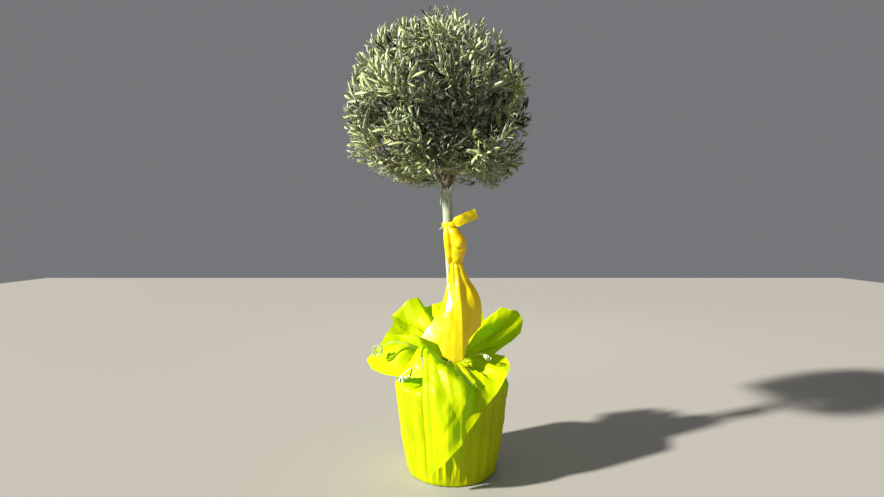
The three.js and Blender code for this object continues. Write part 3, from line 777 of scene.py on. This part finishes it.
def make_foliage():
    random = np.random.default_rng(SEED)
    leaves = {kind: Leaves() for kind in LEAF_KINDS}
    wood, fresh, buds = Shape(), Shape(), Shape()
    parents = grow_twigs(wood)
    for place, way in shoot_targets(random):
        mass = MASSES[int(np.argmin(np.linalg.norm(SEEDS - place, axis=1)))]
        if not clear_below(place + UP * 12):
            continue
        upright = mix(0.15, 1.1, smooth_step(CROWN_CENTRE[2] - 170, CROWN_CENTRE[2] + 60, place[2]))
        end_way = unit(way * 0.8 + UP * upright + random.normal(0, 0.2, 3))
        line = shoot_line(*parents[mass.name], place, end_way)
        steps = max(5, int(line.length / 14))
        path = line.at(np.linspace(0, 1, steps))
        outer = reach_of(place) > OUTER_REACH
        (fresh if outer else wood).tube(path, np.linspace(1.25, 0.6, steps), 4)
        grow_leaves(line, leaves, kind_of(place, way, outer, random), outer, random)
        if random.random() < (0.5 if outer else 0.8):
            grow_buds(line, buds, random)
    return leaves, wood, fresh, buds


def grow_leaves(line, leaves, kind, outer, random):
    """Crossed pairs of leaves along a shoot, large in its middle, small and upright at its tip."""
    bare = 0.3 if outer else 0.1
    spacing = 12.5 if outer else 15
    sunlit = smooth_step(0, 0.8, unit(line.at(1) - CROWN_CENTRE) @ LIGHT_WAY) if outer else 0
    pairs = max(3, int(line.length * (1 - bare) / spacing))
    first_turn = random.uniform(0, math.pi)
    for pair in range(pairs):
        share = mix(bare, 0.99, pair / (pairs - 1))
        root, along = line.at(share), line.along(share)
        out = spoke(along, [0.2, 0.1, 1.0], first_turn + pair * math.pi / 2 + random.normal(0, 0.2))
        late = pair / (pairs - 1)
        size = math.sin(math.pi * (0.24 + 0.62 * late)) ** 0.8
        for sign in (1, -1):
            if random.random() < 0.05:
                continue
            spread = mix(1.15, 0.42, late) + random.normal(0, 0.12)
            direction = unit(along * math.cos(spread) + out * sign * math.sin(spread) + UP * 0.12)
            face = unit(along - direction * along.dot(direction)) + UP * 0.2 + LIGHT_WAY * 0.5
            face += random.normal(0, 0.22, 3)
            length = LEAF_LENGTH * size * random.uniform(0.85, 1.18) * (1 + 0.22 * sunlit)
            tip = root + direction * length
            if reach_of(tip) > TIP_LIMIT:
                length *= 0.7
                tip = root + direction * length
                if reach_of(tip) > TIP_LIMIT:
                    continue
            if not clear_below(tip) or not clear_below(root):
                continue
            width = LEAF_WIDTH * (0.5 + 0.5 * size) * random.uniform(0.75, 1.25) * (1 + 0.2 * sunlit)
            bend = random.uniform(-0.04, 0.2)
            leaves[kind].add(root, direction, face, length, width, bend, random.uniform(0.02, 0.16))


BUD = np.array(
    [(1, 0, 0), (-1, 0, 0), (0, 1, 0), (0, -1, 0), (0, 0, 1.25), (0, 0, -1.25)], float
)
BUD_FACES = np.array(
    [(0, 2, 4), (2, 1, 4), (1, 3, 4), (3, 0, 4), (2, 0, 5), (1, 2, 5), (3, 1, 5), (0, 3, 5)]
)


def grow_buds(line, buds, random):
    """One or two sprigs of flower buds in the leaf axils."""
    for _ in range(random.integers(1, 3)):
        share = random.uniform(0.3, 0.85)
        root, along = line.at(share), line.along(share)
        out = unit(along * 0.7 + random.normal(0, 0.6, 3) + UP * 0.3)
        length = random.uniform(16, 30)
        buds.tube(np.array([root, root + out * length]), [0.5, 0.35], 3)
        for k in range(random.integers(8, 14)):
            away = spoke(out, [0.3, 0.2, 1.0], -k * GOLDEN_ANGLE)
            place = root + out * length * random.uniform(0.35, 1.02) + away * random.uniform(1.5, 4.5)
            buds.add(place + BUD * random.uniform(1.0, 1.7), BUD_FACES)


def build_foliage():
    leaves, wood, fresh, buds = make_foliage()
    nodes = [f"foliage_{mass.name}" for mass in MASSES]
    silver = new_material("leaf_underside", 0xA8AF94, 0.6)
    for kind, found in leaves.items():
        top = leaf_material(*LEAF_KINDS[kind])
        found.shape().build(f"leaves_{kind}", [top, silver], nodes, "foliage")
    wood.build("twigs_woody", [new_material("twig_wood", 0x5E5340, 0.8)], nodes, "bark")
    fresh.build("twigs_fresh", [new_material("twig_fresh", 0x7A8658, 0.6)], nodes, "foliage")
    buds.build("flower_buds", [new_material("bud", 0xD3DAA6, 0.5)], nodes, "foliage")


# Film wrap round the pot

# Fold lines of the collar: the bearing from the front towards the right in degrees, the radius and the
# height of its crest and of its end, and how far the end has swept on round. The film is nearly flat from
# one fold to the next. Its two side edges lie together as far as the crest at the front left.
FOLDS = (
    (-60, 100, 388, 197, 66, 39),
    (-48, 104, 384, 199, 60, 31),
    (-37, 108, 376, 198, 74, 23),
    (-21, 123, 354, 200, 98, 14),
    (-8, 142, 338, 201, 126, 8),
    (7, 166, 311, 204, 152, 0),
    (16, 156, 298, 196, 186, -2),
    (26, 150, 312, 194, 224, -3),
    (36, 146, 298, 193, 262, -3),
    (45, 122, 318, 190, 290, 0),
    (53, 118, 304, 194, 320, 0),
    (62, 112, 338, 188, 326, 0),
    (72, 104, 318, 176, 332, 0),
    (80, 98, 346, 160, 348, 0),
    (86, 72, 334, 128, 352, 0),
    (92, 96, 362, 178, 382, 0),
    (98, 116, 358, 216, 408, 0),
    (105, 136, 404, 234, 440, 0),
    (112, 124, 384, 229, 462, 0),
    (122, 114, 420, 190, 474, 0),
    (134, 84, 372, 150, 430, 0),
    (141, 96, 414, 158, 474, 0),
    (150, 86, 388, 150, 466, 0),
    (162, 88, 426, 142, 492, 0),
    (176, 72, 378, 117, 446, 0),
    (185, 84, 430, 142, 503, 0),
    (193, 86, 396, 154, 482, 0),
    (202, 96, 428, 160, 478, 0),
    (210, 94, 386, 168, 468, 0),
    (219, 108, 430, 178, 496, 0),
    (228, 108, 400, 194, 486, 0),
    (239, 128, 414, 228, 440, 0),
    (250, 108, 366, 200, 416, 0),
    (258, 120, 398, 208, 396, 0),
    (265, 112, 362, 214, 376, 0),
    (272, 148, 376, 258, 326, 0),
    (279, 156, 350, 242, 310, 2),
    (286, 140, 372, 210, 303, 6),
    (291, 118, 344, 180, 302, 12),
    (295, 110, 376, 162, 302, 18),
    (300, 100, 388, 154, 311, 28),
)
CREST_SHARE = 0.36
PASS_SHARE = 0.62
# A fold that ends below the rim passes it at this radius, this far above it, with most of its sweep done
PASS_RADIUS = 183
PASS_ABOVE = 14
PASS_SWEPT = 0.85
HANG_EASE = 35
EDGES_EASE = 0.05
# The film up the pot: the radius and height that it passes, from under the pot to the neck
SKIRT = (
    (24, 0.7), (80, 0.7), (128, 0.7), (134.5, 2), (136, 8), (140, 40), (152, 130), (165, 228), (168, 250),
    (168.5, 261), (164, 269), (150, 274), (110, 284), (75, 298), (52, 304), (42, 309), (38, 316), (36, 323),
    (NECK_RADIUS, NECK_HEIGHT),
)
# Pleats round the pot and the finer ones between them
PLEATS = 25
FINE_PLEATS = 74
# Gathers above the neck: the degrees from one to the next, and their depth
GATHER_STEP = 7.5
GATHER_DEPTH = 1.9
# How far the film bows between two folds of the collar, and lifts over its own edge at the seam
FACE_BOW = 2.5
SEAM_LIFT = 1.8
FILM_COLUMNS = 480
SKIRT_ROWS = 112
COLLAR_ROWS = 90
SEAM_OVERLAP = 9
FILM_CLEAR = 0.8


def triangle(turns):
    """A wave of straight rises and falls, from -1 to 1."""
    return 2 * np.abs(2 * (turns % 1) - 1) - 1


def around(radius, degrees, height):
    """A place by its bearing from the front towards the right."""
    angle = np.radians(degrees)
    return net_of(radius * np.sin(angle), -radius * np.cos(angle), height)


def ridges(places, size):
    """Crinkles about size apart: 1 on a ridge, less than 0 between."""
    flat = places.reshape(-1, 3) / size
    values = [1 - 2.6 * abs(noise.noise(Vector(place))) for place in flat]
    return np.array(values).reshape(places.shape[:-1])


def creases(places, random, count, width, height):
    """Straight low ridges with flat sides, at chance places, that keep near the net's first axis."""
    flat = places.reshape(-1, 3)
    along = unit(np.gradient(places, axis=0)).reshape(-1, 3)
    normals = net_normals(places).reshape(-1, 3)
    rise = np.zeros(len(flat))
    for _ in range(count):
        middle = random.integers(len(flat))
        tilt = random.normal(0, 0.5)
        normal = normals[middle]
        run = along[middle] * math.cos(tilt) + np.cross(normal, along[middle]) * math.sin(tilt)
        offset = flat - flat[middle]
        half = random.uniform(*width)
        length = random.uniform(1.6, 4.2) * width[1]
        tent = np.maximum(0, 1 - np.abs(offset @ np.cross(normal, run)) / half)
        fade = np.clip(1.6 - 1.6 * np.abs(offset @ run) / length, 0, 1)
        near = smooth_step(2.2, 1.2, np.abs(offset @ normal) / half)
        rise += random.choice((-1, 1)) * random.uniform(*height) * tent * fade * near
    return rise.reshape(places.shape[:-1])


def crumple(places, seed, crinkles, creased):
    """How far a crumpled film rises from its net.

    crinkles are the strength and size of each kind and how far its noise is shifted, creased the count,
    the widths and the heights of each set of creases.
    """
    random = np.random.default_rng(seed)
    rise = sum(strength * ridges(places + shift, size) for strength, size, shift in crinkles)
    for count, width, height in creased:
        rise = rise + creases(places, random, count, width, height)
    return rise


def corners_cut(points, cut):
    """Points of a line whose corners are cut off three times."""
    for _ in range(3):
        before, after = points[:-1], points[1:]
        pairs = np.stack([mix(before, after, cut), mix(before, after, 1 - cut)], axis=1)
        points = np.concatenate([points[:1], pairs.reshape(-1, points.shape[1])[1:-1], points[-1:]])
    return points


def fold_line(fold, shares):
    """One fold of the collar, from the neck over its crest to its end."""
    bearing, crest_radius, crest_height, radius, height, sweep = fold
    hangs = smooth_step(RIM + HANG_EASE, RIM, height)
    pass_share = (PASS_SHARE - CREST_SHARE) / (1 - CREST_SHARE)
    over_radius = mix(mix(crest_radius, radius, pass_share), PASS_RADIUS, hangs)
    over_height = mix(mix(crest_height, height, pass_share), RIM + PASS_ABOVE, hangs)
    over_sweep = sweep * mix(pass_share, PASS_SWEPT, hangs)
    points = np.array(
        [
            [0, *around(NECK_RADIUS, bearing, NECK_HEIGHT)],
            [CREST_SHARE, *around(crest_radius, bearing, crest_height)],
            [PASS_SHARE, *around(over_radius, bearing + over_sweep, over_height)],
            [1, *around(radius, bearing + sweep, height)],
        ]
    )
    points = corners_cut(points, 0.16)
    return np.stack([np.interp(shares, points[:, 0], points[:, k]) for k in (1, 2, 3)], axis=-1)


def collar_places(columns):
    shares = np.linspace(0, 1, COLLAR_ROWS)
    lines = np.array([fold_line(fold, shares) for fold in FOLDS])
    bearings = np.array([fold[0] for fold in FOLDS], float)
    wanted = mix(bearings[0], bearings[-1], columns)
    places = net_between(lines, bearings, wanted)
    after = np.clip(np.searchsorted(bearings, wanted), 1, len(bearings) - 1)
    share = (wanted - bearings[after - 1]) / (bearings[after] - bearings[after - 1])
    bow = np.sin(math.pi * share) * np.sin(after * 2.4)
    rise = np.sin(math.pi * shares)[:, None] * bow
    waves = ((0.3, 62, 0), (0.15, 24, 500))
    crinkle = crumple(places, SEED, waves, ((60, (24, 64), (3, 8)), (110, (8, 24), (0.5, 1.8))))
    fade = smooth_step(0.04, 0.35, shares)[:, None]
    gather = GATHER_DEPTH * triangle(wanted / GATHER_STEP) * (1 - smooth_step(0, 0.4, shares))[:, None]
    relief = FACE_BOW * rise + np.clip(crinkle, -10, 12) * fade + gather
    edges = smooth_step(0, EDGES_EASE, columns) * smooth_step(1, 1 - EDGES_EASE, columns)
    together = 1 - smooth_step(CREST_SHARE - 0.06, CREST_SHARE + 0.06, shares)
    return raised(places, relief * (1 - (1 - edges) * together[:, None]))


def skirt_places(columns):
    line = catmull_rom([(radius, 0, height) for radius, height in SKIRT], 16)
    shares = np.linspace(0, 1, SKIRT_ROWS)
    radius, _, height = line.at(shares).T
    first, last = FOLDS[0][0], FOLDS[-1][0]
    closed = 1 - smooth_step(0.86, 1.0, shares)
    overlap = (360 - (last - first) + SEAM_OVERLAP) / 2 * closed
    start, finish = first - overlap, last + overlap
    bearing = mix(start[:, None], finish[:, None], columns[None, :])
    places = around(radius[:, None], bearing, height[:, None])
    neck = smooth_step(56, 40, radius) * smooth_step(262, 280, height)
    waves = ((0.6, 48, 0), (0.25, 17, 500))
    crinkle = crumple(places, SEED + 1, waves, [(150, (6, 26), (0.6, 2.2))])
    crinkle = np.clip(crinkle, -2.4, 2.8) * (smooth_step(0, 12, height) * (1 - neck))[:, None]
    layer = smooth_step(SEAM_OVERLAP + 7, SEAM_OVERLAP, bearing - start[:, None]) * closed[:, None]
    shape = skirt_pleats(bearing / 360, radius, height, neck)
    return outside_pot(raised(places, -(shape + crinkle + SEAM_LIFT * layer)), height)


def skirt_pleats(turns, radius, height, neck):
    """How far the pleats stand out: more up the side, most over the shoulder, and none at the neck."""
    pleat = triangle(PLEATS * turns + 0.45 * np.sin(18.8 * turns + 1) + 0.3 * np.sin(44 * turns + 2.1))
    pleat = np.sign(pleat) * np.abs(pleat) ** 0.8
    strength = 0.74 + 0.26 * np.sin(31.4 * turns + 0.7) * np.sin(12.6 * turns + 2)
    fine = triangle(FINE_PLEATS * turns + 0.6 * np.sin(25 * turns))
    side = smooth_step(4, 60, height)
    over = smooth_step(158, 100, radius) * smooth_step(262, 274, height)
    depth = (0.8 + 3.6 * side) * (1 - over) + 5.2 * over * (1 - neck)
    small = 0.7 * side + 1.6 * over
    return pleat * strength * depth[:, None] + fine * small[:, None]


def outside_pot(places, height):
    """Keeps the film off the pot's wall and lip where its folds are deepest. height is each row's own."""
    level = places[..., 2]
    wall = mix(POT_BASE_RADIUS, POT_TOP_RADIUS, (level - POT_FLOOR) / POT_HEIGHT)
    lip = (level > RIM - POT_LIP_HEIGHT - FILM_CLEAR) & (level < RIM + FILM_CLEAR)
    wall = np.where(lip, POT_TOP_RADIUS + POT_LIP, wall) + FILM_CLEAR
    push = np.maximum(wall / np.hypot(places[..., 0], places[..., 1]), 1)
    on_side = (height > 6) & (height < RIM + FILM_CLEAR)
    places[..., :2] *= np.where(on_side[:, None], push, 1)[..., None]
    lowest = np.where(height > RIM, RIM + FILM_CLEAR, SKIRT[0][1])
    places[..., 2] = np.maximum(places[..., 2], lowest[:, None])
    return places


def make_wrap(film):
    columns = np.linspace(0, 1, FILM_COLUMNS)
    skirt, collar = skirt_places(columns), collar_places(columns)
    joined = 1 - smooth_step(0, 12, np.arange(COLLAR_ROWS))
    collar = collar + (skirt[-1] - collar[0]) * joined[:, None, None]
    wrap = Shape()
    wrap.grid(np.concatenate([skirt, collar[1:]]))
    lobes = ("right", "back_right", "back", "back_left", "left", "front_left")
    nodes = ["film_skirt", "film_flap_front"] + [f"film_lobe_{name}" for name in lobes]
    piece = wrap.build("film_wrap", [film], nodes, "film")


# Yellow ribbon

KNOT_CENTRE = TRUNK_LINE.at(along_trunk(KNOT_HEIGHT))
# Folds of the long end: a place half way down and one at the hem. Above, they start behind the loop.
DRAPE_FOLDS = (
    ((-33, -32, 492), (-93, -34, 402)),
    ((-20, -56, 484), (-42, -68, 390)),
    ((-4, -67, 482), (-26, -82, 356)),
    ((10, -72, 480), (6, -88, 339)),
    ((27, -74, 480), (30, -86, 346)),
    ((44, -58, 492), (46, -68, 402)),
    ((66, -50, 508), (67, -50, 422)),
    ((82, -30, 520), (86, -34, 436)),
)
DRAPE_TOP = 694
DRAPE_WAIST = 598
RIBBON_THICKNESS = 0.8


def make_ribbon(name, places, ribbon, node):
    band = Shape()
    band.slab(places, RIBBON_THICKNESS)
    band.build(name, [ribbon], [node], "ribbon")


def make_drape(ribbon):
    lines = []
    for index, (middle, hem) in enumerate(DRAPE_FOLDS):
        across = index / (len(DRAPE_FOLDS) - 1)
        front = 7 * math.sin(math.pi * across) + 2.5 * (-1) ** index
        top = (mix(-14, 12, across), -19 - 0.3 * front, DRAPE_TOP)
        waist = (mix(-11, 34, across), -24 - front, DRAPE_WAIST)
        lines.append(catmull_rom([top, waist, middle, hem], 24))
    shares = np.linspace(0, 1, 130)
    folds = np.array([line.at(shares) for line in lines])
    places = net_between(folds, np.arange(len(lines)), np.linspace(0, len(lines) - 1, 150))
    waves = ((0.6, 60, 0), (0.15, 17, 300))
    crinkle = crumple(places, SEED + 2, waves, [(26, (12, 40), (0.4, 1.7))])
    fade = smooth_step(0, 0.3, shares)[:, None]
    make_ribbon("ribbon_long_end", raised(places, 1.3 * crinkle * fade), ribbon, "ribbon_drape")


# The loop's left and right edge at these heights
LOOP_EDGES = (
    (732, -22, 8), (718, -25, 22), (702, -25, 34), (680, -24, 42), (660, -21, 41), (639, -17, 33),
    (620, -12, 28),
)
# Its two puffed lobes: where each lies across it, half its width, how far it stands out
LOOP_LOBES = ((0.16, 0.21, 15), (0.66, 0.37, 29))
# The fold across the larger lobe: its middle and its depth
LOOP_FOLD = (16, 667, 10)
# Its back lies this far from the stem's middle, and at least this far in front of it
LOOP_BACK = 21
LOOP_FRONT = 5


def make_loop(ribbon):
    """The puffed loop that hangs from the knot, its left side close round the stem."""
    rows, columns = 130, 90
    turn = np.linspace(0, 2 * math.pi, rows)[:, None]
    across = np.linspace(0, 1, columns)[None, :]
    drop = (1 - np.cos(turn)) / 2
    heights, lefts, rights = np.array(LOOP_EDGES, float).T
    z = mix(heights[0], heights[-1], drop)
    left, right = np.interp(-z, -heights, lefts), np.interp(-z, -heights, rights)
    x = mix(left, right, across)
    beside = np.minimum(x - KNOT_CENTRE[0], 0)
    behind = -np.sqrt(np.maximum(LOOP_BACK**2 - beside**2, LOOP_FRONT**2))
    puff = np.where(turn < math.pi, np.abs(np.sin(turn)) ** 0.7 * drop**0.25, 0.08)
    stand = 0
    for middle, half, height in LOOP_LOBES:
        stand = np.maximum(stand, height * np.sqrt(np.maximum(1 - ((across - middle) / half) ** 2, 0)))
    fold_x, fold_z, fold_depth = LOOP_FOLD
    low = z - fold_z + 0.35 * (x - fold_x)
    fold = np.exp(-(((x - fold_x) / 13) ** 2) - (low / 5) ** 2) * (turn < math.pi)
    places = net_of(x, behind - 2 - puff * stand + fold_depth * fold, z)
    crinkle = crumple(places, SEED + 3, [(0.3, 44, 0)], [(16, (9, 22), (0.5, 1.5))])
    places = raised(places, crinkle * smooth_step(0, 0.2, drop) * smooth_step(1, 0.8, drop))
    make_ribbon("ribbon_puffed_loop", places, ribbon, "ribbon_loop")


TAIL_WAY = unit(np.array([70.0, 0.0, 32.0]))
TAIL_WIDTH = 31


def make_tail(ribbon):
    """The short end: a flat band that rises to the right, cupped, with a cut end."""
    along = np.linspace(0, 1, 60)[:, None]
    across = np.linspace(-0.5, 0.5, 28)
    width = TAIL_WIDTH * mix(0.5, 1, smooth_step(0, 0.22, along))
    x = KNOT_CENTRE[0] + 13 + 72 * along * TAIL_WAY[0] - across * width * TAIL_WAY[2] + 5 * along
    z = KNOT_HEIGHT + 3 + 78 * along * TAIL_WAY[2] + across * width * TAIL_WAY[0]
    y = -29 - 7 * along - 5 * np.cos(math.pi * across) * smooth_step(0, 0.3, along) - 3 * np.sin(5 * along)
    places = net_of(x, y, z)
    crinkle = crumple(places, SEED + 4, [(0.5, 24, 0)], [(16, (4, 12), (0.5, 1.6))])
    make_ribbon("ribbon_short_end", raised(places, crinkle), ribbon, "ribbon_end")


def make_knot(ribbon):
    """Two crossed turns round the stem and the gathered bump in front."""
    knot = Shape()
    bore = float(trunk_radius(along_trunk(KNOT_HEIGHT))) + 2.8
    turn, round_band = circle(96)[:, None], circle(24)
    for tilt, lift in ((4.0, 2.0), (-5.0, -2.5)):
        wave = 0.5 * np.sin(5 * turn + tilt) + 0.4 * triangle(round_band / 1.3)
        radius = bore + 2.0 + 1.7 * np.cos(round_band) + wave * 0.5
        x = KNOT_CENTRE[0] + radius * np.cos(turn)
        y = KNOT_CENTRE[1] + radius * np.sin(turn)
        z = KNOT_HEIGHT + lift + 6.5 * np.sin(round_band) + tilt * np.sin(turn)
        places = net_of(x, y, z)
        knot.grid(np.concatenate([places, places[:1]]), wrap=True)
    polar = np.linspace(0, math.pi, 36)[:, None]
    turn = circle(72)
    pucker = 1 + 0.1 * triangle(turn / 0.7 + np.sin(polar * 3) * 0.3)
    x = KNOT_CENTRE[0] + 9 + 10 * np.sin(polar) * np.cos(turn) * pucker
    y = -bore - 9 + 10 * np.sin(polar) * np.sin(turn) * pucker
    z = KNOT_HEIGHT + 10 * np.cos(polar)
    knot.grid(net_of(x, y, z), wrap=True)
    knot.build("ribbon_knot_folds", [ribbon], ["ribbon_knot"], "ribbon")


# Pale film round the stem

# Loose ends of the film: where each leaves the stem, its tip, the place it bows towards and its width
LOOSE_STRIPS = (
    ((-27, -8, 846), (-33, -12, 792), (-38, -12, 822), 6),
    ((-22, -14, 731), (-38, -18, 722), (-30, -18, 731), 8),
    ((-6, -15, 838), (-1, -22, 856), (-2, -17, 850), 7),
)
LOOSE_ACROSS = unit(np.array([0.75, -0.66, 0.1]))
LOOSE_THICKNESS = 0.4
# How far the film climbs in one turn round the stem
SPIRAL_RISE = 58


def make_stem_film(film):
    shares = np.linspace(along_trunk(STEM_WRAP_BOTTOM), along_trunk(STEM_WRAP_TOP), 420)
    centre = TRUNK_LINE.at(shares)
    turn = circle(72)
    height = centre[:, 2:3]
    spiral = (height / SPIRAL_RISE + turn / (2 * math.pi)) % 1
    lap = 0.75 * smooth_step(0.0, 0.06, spiral) * (1 - 0.6 * spiral)
    around_stem = net_of(np.cos(turn), np.sin(turn), 0)
    places = centre[:, None, :] + around_stem * trunk_radius(shares)[:, None, None]
    threads = 0.5 * ridges(places * [1, 1, 0.16], 9) + 0.25 * ridges(places * [1, 1, 0.4], 4)
    ragged = 4 * triangle(turn * 1.7) + 2.5 * np.sin(turn * 3 + 1) + 3 * triangle(turn * 0.8 + 0.3)
    rim = smooth_step(STEM_WRAP_TOP - 14, STEM_WRAP_TOP, height)
    places = places + around_stem * (1.0 + lap + threads * 0.6 + 1.4 * rim)[..., None]
    places[..., 2] += ragged * rim * 0.5
    sleeve = Shape()
    sleeve.grid(places, wrap=True)
    sleeve.grid((places - around_stem * 0.5)[::-1], wrap=True)
    share = np.linspace(0, 1, 26)
    for start, finish, bow, width in LOOSE_STRIPS:
        across = LOOSE_ACROSS * (width * (1 - 0.85 * share**2))[:, None]
        sleeve.strip(bezier([start, bow, finish], share), across, 4, LOOSE_THICKNESS)
    sleeve.build("stem_sleeve", [film], ["stem_wrap"], "stem_film")


# Curling tie round the neck

TIE_HEIGHT = 314
TIE_CLEAR = 7
TIE_WIDTH = 8
TIE_THICKNESS = 0.5
# Each end of the tie: where it starts and passes, the middle, axis, radius and turns of its curl, its width
TIE_ENDS = (
    ((-40, -22, 318), (-150, -60, 428), (-222, -56, 368), (0.45, 0.88, -0.1), 17, 1.6, 11),
    ((-38, -26, 316), (-96, -72, 352), (-148, -118, 300), (0.9, -0.2, 0.4), 9, 3.2, 5),
    ((30, -28, 322), (64, -60, 372), (104, -84, 352), (-0.5, 0.8, 0.2), 8, 2.2, 5),
    ((36, 24, 320), (92, 90, 430), (92, 150, 392), (-0.6, 0.7, 0.3), 14, 2.6, 7),
)


def make_tie(tie):
    strips = Shape()
    turn = np.linspace(0, 4 * math.pi, 260)
    radius = NECK_RADIUS + TIE_CLEAR + turn * 0.25
    coil = net_of(radius * np.cos(turn), radius * np.sin(turn), TIE_HEIGHT + turn * 0.55)
    strips.strip(coil, UP * TIE_WIDTH, 5, TIE_THICKNESS)
    for start, passing, middle, axis, curl, turns, width in TIE_ENDS:
        axis = unit(np.array(axis, float))
        first = unit(np.cross(axis, UP))
        second = np.cross(axis, first)
        spin = np.linspace(0, 2 * math.pi * turns, int(60 * turns))[:, None]
        size = curl * (1 - 0.035 * spin)
        ring = middle + size * (first * np.cos(spin) + second * np.sin(spin)) + axis * spin * 1.6
        lead = bezier([start, passing, ring[0] - second * curl * 1.5, ring[0]], np.linspace(0, 1, 90))
        path = np.concatenate([lead[:-1], ring])
        flat = unit(np.cross(unit(np.gradient(path, axis=0)), [0.15, 0.1, 1.0]))
        share = smooth_step(50, 88, np.arange(len(path)))[:, None]
        flat *= np.sign(flat[80] @ axis)
        strips.strip(path, unit(mix(flat, axis, share)) * width, 5, TIE_THICKNESS)
    strips.build("curling_tie", [tie], ["film_tie"], "tie")


# Camera and light, in metres

CAMERA_X = -0.03
CAMERA_DISTANCE = 1.5
CAMERA_HEIGHT = 0.72
AIM_HEIGHT = 0.665
PICTURE_WIDTH, PICTURE_HEIGHT = 884, 497
VISIBLE_HEIGHT = 1.5
SENSOR_WIDTH = 36
FLOOR_REACH = 6
FLOOR_LEVEL = -0.0005
SKY_COLOUR = (0.93, 0.96, 1.0, 1)
SKY_STRENGTH = 0.19


def facing(place, aim):
    return (Vector(aim) - Vector(place)).to_track_quat("-Z", "Y").to_euler()


def make_camera():
    data = bpy.data.cameras.new("camera")
    data.sensor_width = SENSOR_WIDTH
    data.lens = SENSOR_WIDTH * CAMERA_DISTANCE / (VISIBLE_HEIGHT * PICTURE_WIDTH / PICTURE_HEIGHT)
    camera = bpy.data.objects.new("camera", data)
    camera.location = (CAMERA_X, -CAMERA_DISTANCE, CAMERA_HEIGHT)
    camera.rotation_euler = facing(camera.location, (CAMERA_X, 0, AIM_HEIGHT))
    put_in_scene(camera)
    bpy.context.scene.camera = camera


def make_light(name, kind, place, aim, power, colour, **settings):
    """A light at place that shines at aim. settings are its shape and size, or how wide a sun looks."""
    data = bpy.data.lights.new(name, kind)
    data.energy = power
    data.color = colour
    for key, value in settings.items():
        setattr(data, key, value)
    light = bpy.data.objects.new(name, data)
    light.location = place
    light.rotation_euler = facing(place, aim)
    put_in_scene(light)


def make_studio():
    mesh = bpy.data.meshes.new("floor")
    corners = ((-1, -1), (1, -1), (1, 1), (-1, 1))
    places = [(x * FLOOR_REACH, y * FLOOR_REACH, FLOOR_LEVEL) for x, y in corners]
    mesh.from_pydata(places, [], [(0, 1, 2, 3)])
    mesh.materials.append(new_material("floor", 0xA5A19A, 0.85))
    ground = bpy.data.objects.new("floor", mesh)
    put_in_scene(ground)
    make_light("key", "SUN", (-1.69, -0.66, 0.96), (0, 0, 0), 8.6, (1.0, 0.97, 0.9), angle=math.radians(3))
    make_light("fill", "AREA", (2.2, -1.4, 1.4), (0, 0, 0.6), 3.5, (0.9, 0.95, 1.0), shape="DISK", size=1.8)
    make_light("back", "AREA", (0.6, 2.4, 2.2), (0, 0, 0.8), 10, (1.0, 0.98, 0.94), shape="DISK", size=1.4)
    world = bpy.data.worlds.new("studio")
    world.use_nodes = True
    sky = world.node_tree.nodes["Background"].inputs
    sky["Color"].default_value = SKY_COLOUR
    sky["Strength"].default_value = SKY_STRENGTH
    bpy.context.scene.world = world
    bpy.context.scene.view_settings.view_transform = "Standard"


def dress_node(name, material):
    for slot in bpy.data.objects[name].material_slots:
        slot.material = material


make_camera()
make_studio()
make_wood(bark_material())
build_foliage()
make_wrap(film_material())
yellow = ribbon_material()
make_drape(yellow)
make_loop(yellow)
make_tail(yellow)
make_knot(yellow)
make_stem_film(stem_film_material())
make_tie(tie_material())
dress_node("pot", pot_material())
dress_node("soil", soil_material())
